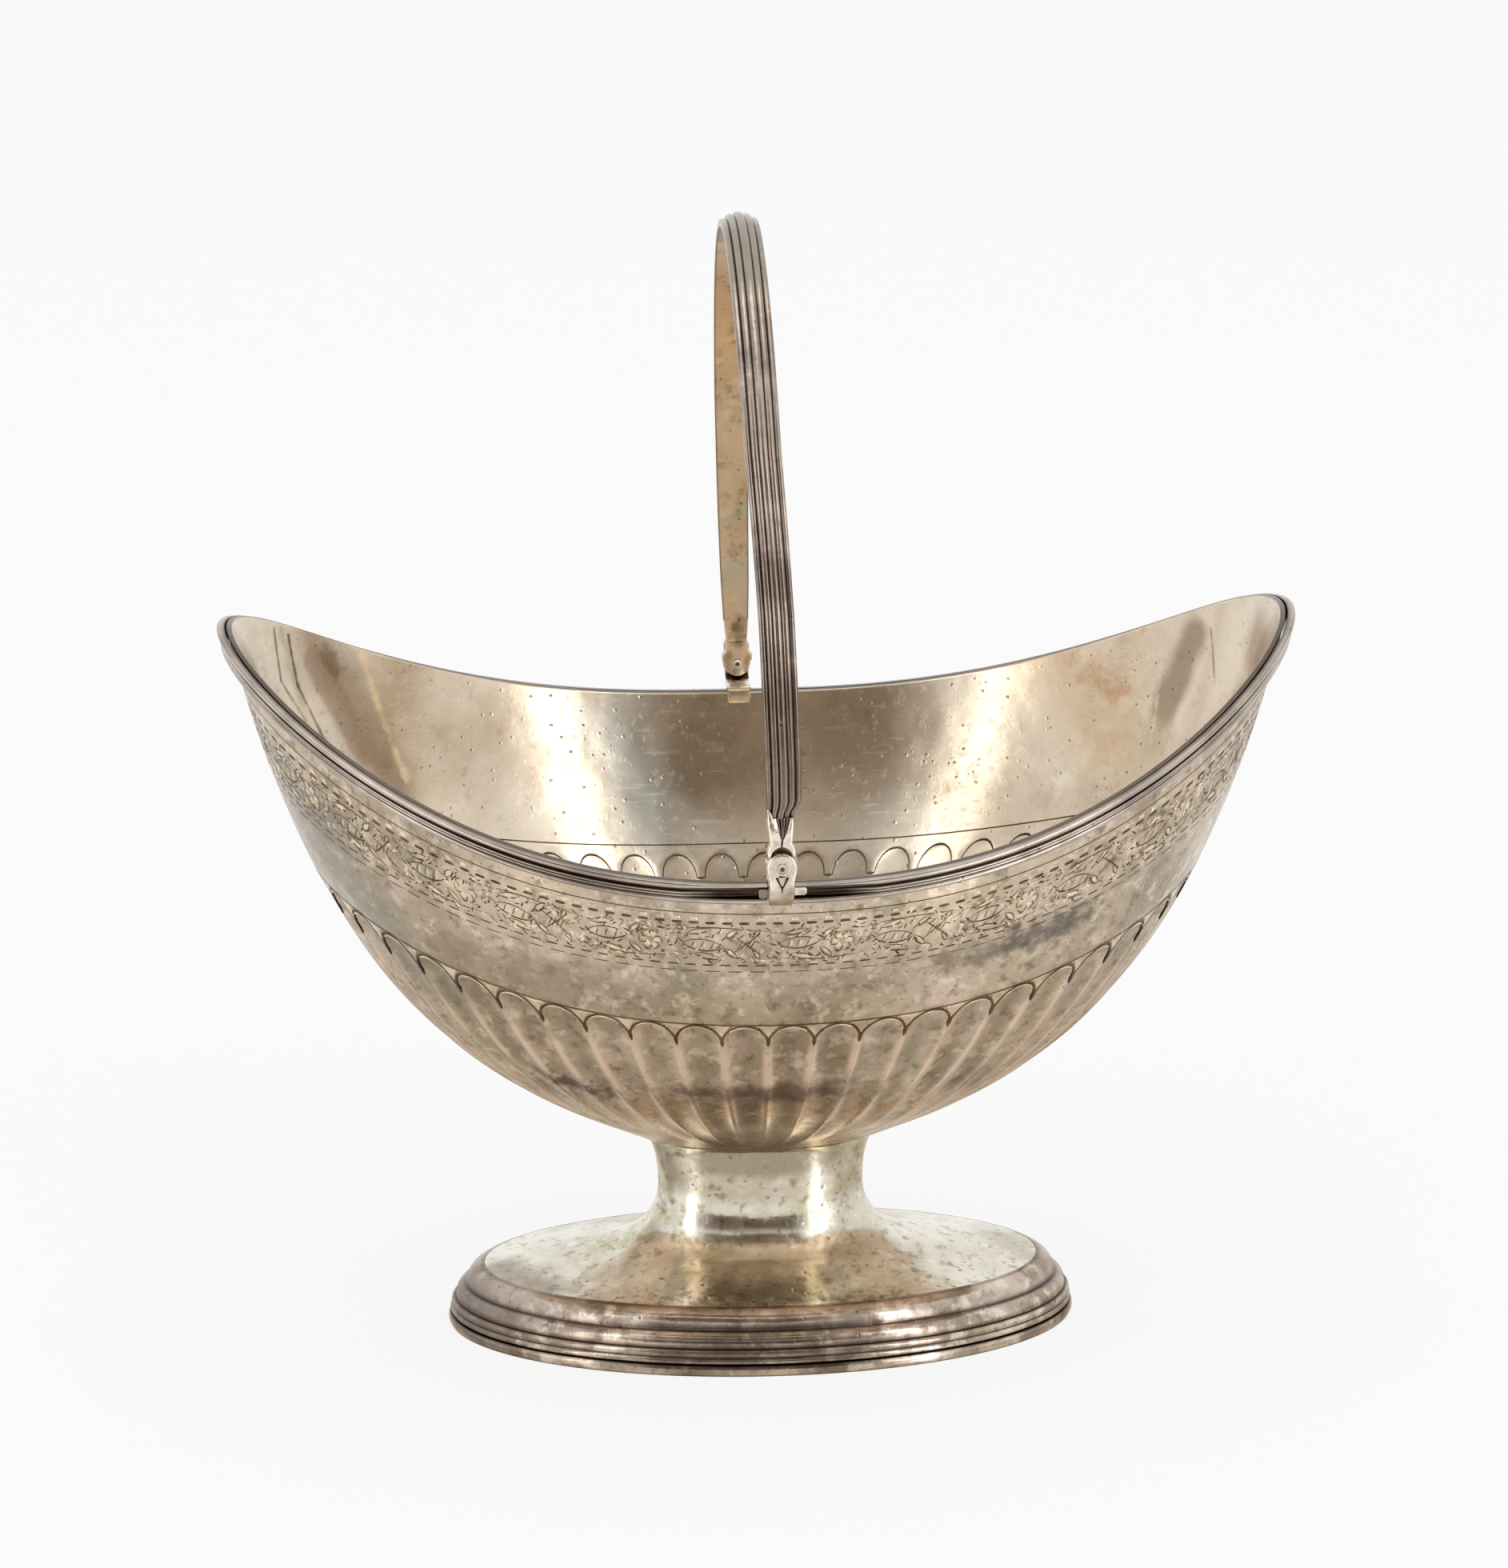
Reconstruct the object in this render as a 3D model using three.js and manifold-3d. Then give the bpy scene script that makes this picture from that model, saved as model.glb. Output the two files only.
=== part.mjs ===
// Sugar basket in silver: a boat-shaped fluted bowl on an oval pedestal foot, with a swing handle.
// Millimetres, +Z up. X runs along the bowl, Y across it; the handle's hinges are on the Y axis.
// The origin is at the middle of the foot's underside.

import * as THREE from "three";
import { mergeVertices } from "three/addons/utils/BufferGeometryUtils.js";
import Module from "manifold-3d";

const wasm = await Module();
wasm.setup();

// Driving dimensions of the bowl
const BOWL_LENGTH = 165; // over the rim wire, from tip to tip
const BOWL_WIDTH = 106; // over the rim wire, between the hinges
const RIM_SIDE_HEIGHT = 87; // top of the rim beside the hinges
const RIM_TIP_HEIGHT = 113.7; // top of the rim at the two ends
const RIM_SWEEP = 2.42; // how late the rim rises towards its ends
const BOWL_WALL = 0.9;
const SEAM_LENGTH = 36.4; // the oval where the bowl stands on its pedestal
const SEAM_WIDTH = 17.4;
const SEAM_HEIGHT = 30;

// The bowl's section is one cubic curve from the seam to the rim.
// Its two inner control points are shares of the section's reach outwards and upwards.
const BELLY_OUT_SHARE = 0.374;
const BELLY_UP_SHARE = 0.14;
const SIDE_OUT_SHARE = 0.768;
const SIDE_UP_SHARE = 0.25;

// Hollow flutes on the lower bowl
const FLUTE_COUNT = 50;
const FLUTE_DEPTH = 0.8;
const FLUTE_FOOT_SHARE = 0.03; // share of the bowl's height where the flutes begin
const FLUTE_TOP_SHARE = 0.56; // and where they end in a row of arches
const FLUTE_RUN_IN = 0.1; // share of a flute's length over which it deepens at its foot
const FLUTE_ARCH_SHARE = 0.1; // and over which it closes at its arch

// Reeded wire round the outside of the rim
const RIM_WIRE_DEPTH = 1.3;
const RIM_WIRE_HEIGHT = 3.2;
const REED_GROOVE = 0.4;

// Pedestal, raised from one sheet, with its mouth down
const PEDESTAL_WALL = 0.9;
const WAIST_LENGTH = 32;
const WAIST_WIDTH = 15.6;
const WAIST_HEIGHT = 22.3;
const DOME_DROP = 9; // how far the stem runs down before it spreads
const DOME_SPREAD = 18; // how far the foot's dome runs in towards the stem
const DOME_RISE = 3;

// Oval foot border
const FOOT_LENGTH = 98;
const FOOT_WIDTH = 56;
const BASE_RING_HEIGHT = 1.7;
const BASE_RING_LIP = 1.2; // how far the base ring runs in under the pedestal's skirt
const FOOT_REED_HEIGHT = 2.4;
const FOOT_STEP_HEIGHT = 5.3;
const FOOT_WIRE_BREADTH = 5.6;

// Hinges: a rule joint on each side, its lug outside and the handle's knuckle inside
const HINGE_STANDOFF = 0.9; // of the knuckle from the outer face of the rim wire
const SADDLE_THICKNESS = 0.9; // of the lug where it bridges the rim
const PIN_RADIUS = 0.6;
const PIN_RUNNING_CLEARANCE = 0.08;
const PIN_HEAD_RADIUS = 0.95;
const PIN_HEAD_HEIGHT = 0.35;
const LAP_THICKNESS = 1.3;
const LAP_GAP = 0.3;
const LUG_HEAD_RADIUS = 2.1;
const LUG_HEAD_ROOM = 0.9; // between the lug's head and the handle's end that turns round it
const LUG_NECK_INSET = 0.4; // how much the neck is narrower than the head on each side
const LUG_BASE_WIDTH = 6.6;
const LUG_CORNER = 0.6; // cut off the corners of its base
const LUG_FACE_DROP = 1.4; // how far the lug's outer face runs down past the rim's top
const LUG_SHOULDER_WIDTH = 3.8; // also the leg that runs down inside the bowl
const LUG_LEG_DROP = 1.5; // how far that leg runs down
const LUG_LEG_THICKNESS = 0.7;
const KNUCKLE_RADIUS = 2.2;
const KNUCKLE_NECK_INSET = 0.6;
const TERMINAL_BLOCK_HEIGHT = 4; // the solid block above the two laps

// Bail handle
const HANDLE_HEIGHT = 84.9; // from the pins to the top of the arch
const HANDLE_WIDTH = 5.6;
const HANDLE_END_WIDTH = 4.2;
const HANDLE_TAPER_LENGTH = 14;
const HANDLE_THICKNESS = 2.2;
const HANDLE_REED_DEPTH = 0.35;
const HANDLE_LEAN = 1.5; // degrees: the handle stands a little to the left of upright

const FIT_GAP = 0.3; // between neighbours that are soldered or clear each other
const CUT_MARGIN = 1; // how far a cutter runs past what it cuts

// Fineness
const FLUTED_ROWS = 7;
const PLAIN_ROWS = 4;
const OVAL_STEPS = 56;
const PEDESTAL_ROWS = 7;
const STEM_ROWS = 4;
const ARCH_STEPS = 48;
const ROUND_STEPS = 20;

// Values that follow from the driving dimensions
const wallLength = BOWL_LENGTH / 2 - RIM_WIRE_DEPTH - FIT_GAP;
const wallWidth = BOWL_WIDTH / 2 - RIM_WIRE_DEPTH - FIT_GAP;
const saddleTop = FIT_GAP + SADDLE_THICKNESS;
const pinAboveRim = saddleTop + LAP_GAP + KNUCKLE_RADIUS;
const pinHeight = RIM_SIDE_HEIGHT + pinAboveRim;
const headSwing = LUG_HEAD_RADIUS + LUG_HEAD_ROOM;
const blockLow = headSwing + LAP_GAP;
const terminalHeight = blockLow + TERMINAL_BLOCK_HEIGHT;
const lugNeckWidth = 2 * (LUG_HEAD_RADIUS - LUG_NECK_INSET);
const knuckleNeckWidth = 2 * (KNUCKLE_RADIUS - KNUCKLE_NECK_INSET);
const flare =
  ((1 - SIDE_OUT_SHARE) * (wallWidth - SEAM_WIDTH / 2)) /
  ((1 - SIDE_UP_SHARE) * (RIM_SIDE_HEIGHT - SEAM_HEIGHT));
const borderHeight = BASE_RING_HEIGHT + FOOT_REED_HEIGHT + FOOT_STEP_HEIGHT;
const baseRingBreadth = FOOT_WIRE_BREADTH + FIT_GAP + PEDESTAL_WALL + BASE_RING_LIP;

const silver = (colour, roughness) =>
  new THREE.MeshStandardMaterial({ color: colour, roughness, metalness: 1 });
const bodySilver = silver(0xb9aa92, 0.3);
const wireSilver = silver(0x9c8f86, 0.34);
const footSilver = silver(0xc3b99f, 0.36);
const handleSilver = silver(0x8f817c, 0.34);
const hingeSilver = silver(0xb5a893, 0.32);

// Geometry helpers

const cubic = (t, a, b, c, d) =>
  (1 - t) ** 3 * a + 3 * (1 - t) ** 2 * t * b + 3 * (1 - t) * t * t * c + t ** 3 * d;

const mix = (a, b, t) => a + (b - a) * t;

// A closed body from rings that each hold the same number of points.
// Rings either come back to the first one or are closed by a fan at each end.
function loft(rings, closeLoop) {
  const count = rings[0].length;
  const position = rings.flat().flatMap((p) => [p.x, p.y, p.z]);
  const index = [];
  const bands = closeLoop ? rings.length : rings.length - 1;
  for (let i = 0; i < bands; i += 1) {
    const low = i * count;
    const high = ((i + 1) % rings.length) * count;
    for (let j = 0; j < count; j += 1) {
      const k = (j + 1) % count;
      index.push(low + j, low + k, high + k);
      index.push(low + j, high + k, high + j);
    }
  }
  const fan = (ring, facesBack) => {
    const centre = new THREE.Vector3();
    rings[ring].forEach((p) => centre.add(p));
    centre.divideScalar(count);
    const hub = position.length / 3;
    position.push(centre.x, centre.y, centre.z);
    for (let j = 0; j < count; j += 1) {
      const k = (j + 1) % count;
      const pair = facesBack ? [k, j] : [j, k];
      index.push(ring * count + pair[0], ring * count + pair[1], hub);
    }
  };
  if (!closeLoop) {
    fan(0, true);
    fan(rings.length - 1, false);
  }
  const geometry = new THREE.BufferGeometry();
  geometry.setAttribute("position", new THREE.Float32BufferAttribute(position, 3));
  geometry.setIndex(index);
  return geometry;
}

// Solids for cutting and joining
function solid(geometry) {
  const bare = new THREE.BufferGeometry();
  bare.setAttribute("position", geometry.getAttribute("position"));
  if (geometry.index) bare.setIndex(geometry.index);
  const merged = mergeVertices(bare, 1e-4);
  return new wasm.Manifold(
    new wasm.Mesh({
      numProp: 3,
      vertProperties: new Float32Array(merged.attributes.position.array),
      triVerts: new Uint32Array(merged.index.array),
    }),
  );
}

function fromSolid(body) {
  const mesh = body.getMesh();
  const geometry = new THREE.BufferGeometry();
  geometry.setAttribute("position", new THREE.BufferAttribute(mesh.vertProperties, 3));
  geometry.setIndex(new THREE.BufferAttribute(mesh.triVerts, 1));
  return geometry;
}

// An outline of [across, up] points, extruded along Y from yStart to yEnd.
function plateAcross(outline, yStart, yEnd) {
  const shape = new THREE.Shape(outline.map(([x, z]) => new THREE.Vector2(x, z)));
  const geometry = new THREE.ExtrudeGeometry(shape, {
    depth: yEnd - yStart,
    bevelEnabled: false,
  });
  geometry.rotateX(Math.PI / 2);
  geometry.translate(0, yEnd, 0);
  return solid(geometry);
}

// An outline of [outwards, up] points, extruded along X to a total width.
function plateAlong(outline, width) {
  const shape = new THREE.Shape(outline.map(([y, z]) => new THREE.Vector2(y, z)));
  const geometry = new THREE.ExtrudeGeometry(shape, { depth: width, bevelEnabled: false });
  geometry.rotateX(Math.PI / 2);
  geometry.rotateZ(Math.PI / 2);
  geometry.translate(-width / 2, 0, 0);
  return solid(geometry);
}

// A round bar along Y
function bar(radius, yStart, yEnd, height) {
  const geometry = new THREE.CylinderGeometry(radius, radius, yEnd - yStart, ROUND_STEPS);
  geometry.translate(0, (yStart + yEnd) / 2, height);
  return solid(geometry);
}

// Points of an arc in the [across, up] plane, angles in degrees
function arc(radius, height, from, to, steps) {
  const points = [];
  for (let i = 0; i <= steps; i += 1) {
    const angle = THREE.MathUtils.degToRad(mix(from, to, i / steps));
    points.push([radius * Math.cos(angle), height + radius * Math.sin(angle)]);
  }
  return points;
}

// Angles that divide an oval into equal lengths, starting at its front.
function evenAngles(length, width, count) {
  const fine = 4000;
  const angles = [];
  const lengths = [0];
  const at = (i) => -Math.PI / 2 + (2 * Math.PI * i) / fine;
  for (let i = 1; i <= fine; i += 1) {
    const dx = (Math.cos(at(i)) - Math.cos(at(i - 1))) * length;
    const dy = (Math.sin(at(i)) - Math.sin(at(i - 1))) * width;
    lengths.push(lengths[i - 1] + Math.hypot(dx, dy));
  }
  let i = 0;
  for (let n = 0; n < count; n += 1) {
    const wanted = (lengths[fine] * n) / count;
    while (lengths[i + 1] < wanted) i += 1;
    const part = (wanted - lengths[i]) / (lengths[i + 1] - lengths[i]);
    angles.push(at(i + part));
  }
  return angles;
}

// Bowl

const rimHeight = (angle) =>
  mix(RIM_SIDE_HEIGHT, RIM_TIP_HEIGHT, Math.abs(Math.cos(angle)) ** RIM_SWEEP);

const bowlOutShare = (t) => cubic(t, 0, BELLY_OUT_SHARE, SIDE_OUT_SHARE, 1);
const bowlUpShare = (t) => cubic(t, 0, BELLY_UP_SHARE, SIDE_UP_SHARE, 1);

// The smooth outer surface of the bowl, t from 0 at the seam to 1 at the rim
function bowlPoint(angle, t) {
  const out = bowlOutShare(t);
  const up = bowlUpShare(t);
  return new THREE.Vector3(
    Math.cos(angle) * mix(SEAM_LENGTH / 2, wallLength, out),
    Math.sin(angle) * mix(SEAM_WIDTH / 2, wallWidth, out),
    mix(SEAM_HEIGHT, rimHeight(angle), up),
  );
}

function bowlNormal(angle, t) {
  const step = 1e-3;
  const low = Math.max(t - step, 0);
  const high = Math.min(t + step, 1);
  const round = bowlPoint(angle + step, t).sub(bowlPoint(angle - step, t));
  const along = bowlPoint(angle, high).sub(bowlPoint(angle, low));
  return round.cross(along).normalize();
}

// Where along the section a share of the bowl's height lies
function sectionAt(upShare) {
  let low = 0;
  let high = 1;
  for (let i = 0; i < 40; i += 1) {
    const middle = (low + high) / 2;
    if (bowlUpShare(middle) < upShare) low = middle;
    else high = middle;
  }
  return (low + high) / 2;
}

const fluteFoot = sectionAt(FLUTE_FOOT_SHARE);
const fluteTop = sectionAt(FLUTE_TOP_SHARE);

// A hollow is deepest near the arches and shallower where the flutes crowd together.
function hollowDepth(t) {
  if (t <= fluteFoot || t >= fluteTop) return 0;
  const crowding = bowlOutShare(t) / bowlOutShare(fluteTop);
  const foot = Math.min(1, (t - fluteFoot) / (FLUTE_RUN_IN * fluteTop));
  const arch = Math.min(1, (fluteTop - t) / (FLUTE_ARCH_SHARE * fluteTop));
  return FLUTE_DEPTH * crowding * foot * Math.sqrt(arch);
}

// Sections from the seam to the rim, with one more row just under the arches
function bowlRows(fluted, plain) {
  const rows = [];
  for (let i = 0; i < fluted; i += 1) rows.push((fluteTop * i) / fluted);
  rows.push(fluteTop * (1 - FLUTE_ARCH_SHARE / 2));
  for (let i = 0; i <= plain; i += 1) rows.push(mix(fluteTop, 1, i / plain));
  return rows;
}

const archRow = bowlPoint(0, fluteTop).x;
const archRowWidth = bowlPoint(Math.PI / 2, fluteTop).y;
const bowlAngles = evenAngles(archRow, archRowWidth, 2 * FLUTE_COUNT);

function bowlRing(t, depth, flatTop) {
  return bowlAngles.map((angle, i) => {
    const inward = depth + (i % 2 === 1 ? hollowDepth(t) : 0);
    const point = bowlPoint(angle, t).addScaledVector(bowlNormal(angle, t), -inward);
    if (flatTop) point.z = rimHeight(angle);
    return point;
  });
}

function makeBowl() {
  const rings = bowlRows(FLUTED_ROWS, PLAIN_ROWS).map((t) => bowlRing(t, 0, false));
  const inner = bowlRows(FLUTED_ROWS - 1, PLAIN_ROWS - 1).reverse();
  inner.forEach((t) => rings.push(bowlRing(t, BOWL_WALL, t === 1)));
  const geometry = loft(rings, false);
  return new THREE.Mesh(geometry, bodySilver);
}

// Rim wire: two halves, each from one hinge lug to the other

const wireProfile = (() => {
  const bead = RIM_WIRE_HEIGHT / 3;
  const groove = RIM_WIRE_DEPTH - REED_GROOVE;
  return [
    [0, 0],
    [groove, 0],
    [RIM_WIRE_DEPTH, -bead / 2],
    [groove, -bead],
    [RIM_WIRE_DEPTH, -bead * 1.5],
    [groove, -bead * 2],
    [RIM_WIRE_DEPTH, -bead * 2.5],
    [groove, -bead * 3],
    [0, -bead * 3],
  ];
})();

// The wire leans with the wall that it is soldered to.
function rimWireRing(angle) {
  const top = bowlPoint(angle, 1);
  const outward = new THREE.Vector3(
    Math.cos(angle) * wallWidth,
    Math.sin(angle) * wallLength,
    0,
  ).normalize();
  return wireProfile.map(([out, up]) => {
    const reach = FIT_GAP + out + flare * up;
    return top.clone().addScaledVector(outward, reach).add(new THREE.Vector3(0, 0, up));
  });
}

function makeRimWire(side) {
  const lugEdge = Math.asin((LUG_BASE_WIDTH / 2 + FIT_GAP) / (BOWL_LENGTH / 2));
  const from = -Math.PI / 2 + lugEdge;
  const to = Math.PI / 2 - lugEdge;
  const clear = Math.PI / FLUTE_COUNT / 2;
  const between = bowlAngles.filter((angle) => angle > from + clear && angle < to - clear);
  const angles = [from, ...between, to];
  const rings = angles.map((angle) => rimWireRing(angle));
  const mesh = new THREE.Mesh(loft(rings, false), wireSilver);
  mesh.rotation.z = side === "right" ? 0 : Math.PI;
  return mesh;
}

// Pedestal and foot border: ovals that keep an even margin

function ovalRing(halfLength, halfWidth, height) {
  const ring = [];
  for (let i = 0; i < OVAL_STEPS; i += 1) {
    const angle = (2 * Math.PI * i) / OVAL_STEPS;
    ring.push(
      new THREE.Vector3(halfLength * Math.cos(angle), halfWidth * Math.sin(angle), height),
    );
  }
  return ring;
}

// The pedestal's outer section: stations of half length, half width and height
function pedestalStations() {
  const stations = [];
  for (let i = 0; i < STEM_ROWS; i += 1) {
    const turn = (Math.PI / 2) * (1 - i / STEM_ROWS);
    const spread = 1 - Math.cos(turn);
    stations.push([
      mix(WAIST_LENGTH, SEAM_LENGTH, spread) / 2,
      mix(WAIST_WIDTH, SEAM_WIDTH, spread) / 2,
      mix(WAIST_HEIGHT, SEAM_HEIGHT, Math.sin(turn)),
    ]);
  }
  const edgeLength = FOOT_LENGTH / 2 - FOOT_WIRE_BREADTH;
  const edgeWidth = FOOT_WIDTH / 2 - FOOT_WIRE_BREADTH;
  const spreadHandle = 1 - DOME_SPREAD / (edgeLength - WAIST_LENGTH / 2);
  for (let i = 0; i <= PEDESTAL_ROWS; i += 1) {
    const t = i / PEDESTAL_ROWS;
    const out = cubic(t, 0, 0, spreadHandle, 1);
    const height = cubic(
      t,
      WAIST_HEIGHT,
      WAIST_HEIGHT - DOME_DROP,
      borderHeight + DOME_RISE,
      borderHeight,
    );
    stations.push([
      mix(WAIST_LENGTH / 2, edgeLength - FIT_GAP, out),
      mix(WAIST_WIDTH / 2, edgeWidth - FIT_GAP, out),
      height,
    ]);
  }
  stations.push([edgeLength - FIT_GAP, edgeWidth - FIT_GAP, BASE_RING_HEIGHT]);
  return stations;
}

// Moves a station inwards by the wall, square to the section.
function offsetStations(stations, wall) {
  return stations.map(([length, width, height], i) => {
    const before = stations[Math.max(i - 1, 0)];
    const after = stations[Math.min(i + 1, stations.length - 1)];
    const run = after[0] - before[0];
    const fall = after[2] - before[2];
    const size = Math.hypot(run, fall);
    const isEnd = i === 0 || i === stations.length - 1;
    const inward = isEnd ? wall : (wall * -fall) / size;
    const down = isEnd ? 0 : (wall * run) / size;
    return [length - inward, width - inward, height - down];
  });
}

function makePedestal() {
  const outer = pedestalStations();
  const inner = offsetStations(outer, PEDESTAL_WALL).reverse();
  const rings = [...outer, ...inner].map((s) => ovalRing(...s)).reverse();
  return new THREE.Mesh(loft(rings, true), footSilver);
}

// A border wire from a profile of [margin in from the foot's outline, height]
function makeBorder(profile, material) {
  const rings = profile.map(([margin, height]) =>
    ovalRing(FOOT_LENGTH / 2 - margin, FOOT_WIDTH / 2 - margin, height),
  );
  return new THREE.Mesh(loft(rings, true), material);
}

const reedBase = BASE_RING_HEIGHT;
const stepBase = reedBase + FOOT_REED_HEIGHT;

// Margins of the wires' faces, as shares of their breadth
const inFrom = (share) => FOOT_WIRE_BREADTH * share;

const baseRingProfile = [
  [inFrom(0.03), 0],
  [0, BASE_RING_HEIGHT / 2],
  [inFrom(0.02), BASE_RING_HEIGHT],
  [baseRingBreadth, BASE_RING_HEIGHT],
  [baseRingBreadth, 0],
];

// Two small reeds
const reedProfile = [
  [inFrom(0.06), reedBase],
  [inFrom(0.01), reedBase + FOOT_REED_HEIGHT * 0.25],
  [inFrom(0.08), reedBase + FOOT_REED_HEIGHT * 0.5],
  [inFrom(0.05), reedBase + FOOT_REED_HEIGHT * 0.75],
  [inFrom(0.14), reedBase + FOOT_REED_HEIGHT],
  [FOOT_WIRE_BREADTH, reedBase + FOOT_REED_HEIGHT],
  [FOOT_WIRE_BREADTH, reedBase],
];

// Two rounded steps, the lower one over two fifths of the height
const stepProfile = [
  [inFrom(0.16), stepBase],
  [inFrom(0.21), stepBase + FOOT_STEP_HEIGHT * 0.25],
  [inFrom(0.41), stepBase + FOOT_STEP_HEIGHT * 0.43],
  [inFrom(0.48), stepBase + FOOT_STEP_HEIGHT * 0.75],
  [inFrom(0.7), stepBase + FOOT_STEP_HEIGHT * 0.93],
  [FOOT_WIRE_BREADTH, stepBase + FOOT_STEP_HEIGHT],
  [FOOT_WIRE_BREADTH, stepBase],
];

// Hinges, made at the front and turned half round for the back.
// They are drawn as [out, up] and [across, up], where out starts at the wall's outer face at the
// rim and up starts at the rim's top edge.

const wireFace = FIT_GAP + RIM_WIRE_DEPTH;
const knuckleInner = wireFace + HINGE_STANDOFF;
const knuckleOuter = knuckleInner + LAP_THICKNESS;
const lugInner = knuckleOuter + LAP_GAP;
const lugOuter = lugInner + LAP_THICKNESS;
const wallAtRim = BOWL_WALL * Math.hypot(1, flare);
const pinBore = PIN_RADIUS + PIN_RUNNING_CLEARANCE;
const pastHinge = lugOuter + CUT_MARGIN;

// A rectangle across the hinge, as an outline
const panel = (width, low, high) => [
  [-width / 2, low],
  [width / 2, low],
  [width / 2, high],
  [-width / 2, high],
];

// Turns "out" to -Y for the front hinge and to +Y for the back one.
function placeHinge(geometry, side, rimTop) {
  geometry.rotateZ(Math.PI);
  geometry.translate(0, -wallWidth, rimTop);
  if (side === "back") geometry.rotateZ(Math.PI);
  return geometry;
}

// The lug's front outline: a round head, a neck and a wider foot over the rim wire
function lugOutline() {
  const join = THREE.MathUtils.radToDeg(Math.asin(lugNeckWidth / 2 / LUG_HEAD_RADIUS));
  const head = arc(LUG_HEAD_RADIUS, pinAboveRim, -90 + join, 270 - join, ROUND_STEPS);
  const foot = [
    [lugNeckWidth / 2, saddleTop],
    [LUG_BASE_WIDTH / 2, saddleTop - 2 * LUG_CORNER],
    [LUG_BASE_WIDTH / 2, -RIM_WIRE_HEIGHT + LUG_CORNER],
    [LUG_BASE_WIDTH / 2 - LUG_CORNER, -RIM_WIRE_HEIGHT],
  ];
  const footLeft = foot.map(([across, up]) => [-across, up]);
  return [...head, ...footLeft, ...foot.reverse()];
}

function makeLug(side) {
  const headTop = pinAboveRim + LUG_HEAD_RADIUS;
  const outerLeg = plateAlong(
    [
      [FIT_GAP - flare * RIM_WIRE_HEIGHT, -RIM_WIRE_HEIGHT],
      [wireFace - flare * RIM_WIRE_HEIGHT, -RIM_WIRE_HEIGHT],
      [lugOuter, -LUG_FACE_DROP],
      [lugOuter, headTop],
      [lugInner, headTop],
      [lugInner, saddleTop],
      [0, saddleTop],
      [0, FIT_GAP],
      [FIT_GAP, FIT_GAP],
      [FIT_GAP, 0],
    ],
    LUG_BASE_WIDTH,
  );
  const legFace = -wallAtRim - FIT_GAP;
  const innerLeg = plateAlong(
    [
      [FIT_GAP, FIT_GAP],
      [FIT_GAP, saddleTop],
      [-wallAtRim, saddleTop],
      [legFace - LUG_LEG_THICKNESS, 0],
      [legFace - LUG_LEG_THICKNESS / 2 - flare * LUG_LEG_DROP, -LUG_LEG_DROP],
      [legFace - flare * LUG_LEG_DROP, -LUG_LEG_DROP],
      [legFace, FIT_GAP],
    ],
    LUG_SHOULDER_WIDTH,
  );
  const front = plateAcross(lugOutline(), -pastHinge, pastHinge);
  const bore = bar(pinBore, -pastHinge, pastHinge, pinAboveRim);
  const body = outerLeg.intersect(front).add(innerLeg).subtract(bore);
  return new THREE.Mesh(placeHinge(fromSolid(body), side, RIM_SIDE_HEIGHT), hingeSilver);
}

// The handle's end: an inner lap with a round knuckle, and a shoulder that turns round the lug
function makeTerminal(side) {
  const blockBase = pinAboveRim + blockLow;
  const joinTop = blockBase + LAP_GAP;
  const top = pinAboveRim + terminalHeight;
  const block = plateAcross(panel(HANDLE_END_WIDTH, blockBase, top), knuckleInner, lugOuter);
  const cheekLow = pinAboveRim + headSwing / 2;
  const headRoom = bar(headSwing, 0, pastHinge, pinAboveRim);
  const cheek = plateAcross(
    panel(HANDLE_END_WIDTH, cheekLow, joinTop),
    lugInner,
    lugOuter,
  ).subtract(headRoom);
  const neck = plateAcross(
    panel(knuckleNeckWidth, pinAboveRim, joinTop),
    knuckleInner,
    knuckleOuter,
  );
  const knuckle = bar(KNUCKLE_RADIUS, knuckleInner, knuckleOuter, pinAboveRim);
  const bore = bar(pinBore, 0, pastHinge, pinAboveRim);
  const body = block.add(cheek).add(neck).add(knuckle).subtract(bore);
  return new THREE.Mesh(placeHinge(fromSolid(body), side, -pinAboveRim), hingeSilver);
}

// A rivet with a low head on each side
function makePin(side) {
  const inner = knuckleInner - PIN_RUNNING_CLEARANCE;
  const outer = lugOuter + PIN_RUNNING_CLEARANCE;
  const crown = PIN_HEAD_RADIUS * 0.6;
  const edge = PIN_HEAD_HEIGHT * 0.4;
  const profile = [
    [0, inner - PIN_HEAD_HEIGHT],
    [crown, inner - PIN_HEAD_HEIGHT],
    [PIN_HEAD_RADIUS, inner - edge],
    [PIN_HEAD_RADIUS, inner],
    [PIN_RADIUS, inner],
    [PIN_RADIUS, outer],
    [PIN_HEAD_RADIUS, outer],
    [PIN_HEAD_RADIUS, outer + edge],
    [crown, outer + PIN_HEAD_HEIGHT],
    [0, outer + PIN_HEAD_HEIGHT],
  ].map(([radius, out]) => new THREE.Vector2(radius, out));
  const geometry = new THREE.LatheGeometry(profile, ROUND_STEPS);
  geometry.translate(0, 0, pinAboveRim);
  return new THREE.Mesh(placeHinge(geometry, side, RIM_SIDE_HEIGHT), hingeSilver);
}

// Handle arch: half an ellipse between the hinge ends

const archDepth = wallWidth + (knuckleInner + lugOuter) / 2;
const archRise = HANDLE_HEIGHT - HANDLE_THICKNESS / 2;

// The section: a flat inner face and three reeds outside, as shares of width and thickness
function archSection(width) {
  const crown = HANDLE_THICKNESS / 2;
  const groove = crown - HANDLE_REED_DEPTH;
  const sideReed = crown - HANDLE_REED_DEPTH / 2;
  return [
    [-width / 2, -crown],
    [-width / 2, sideReed - 2 * HANDLE_REED_DEPTH],
    [-width / 3, sideReed],
    [-width / 6, groove],
    [0, crown],
    [width / 6, groove],
    [width / 3, sideReed],
    [width / 2, sideReed - 2 * HANDLE_REED_DEPTH],
    [width / 2, -crown],
  ];
}

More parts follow.
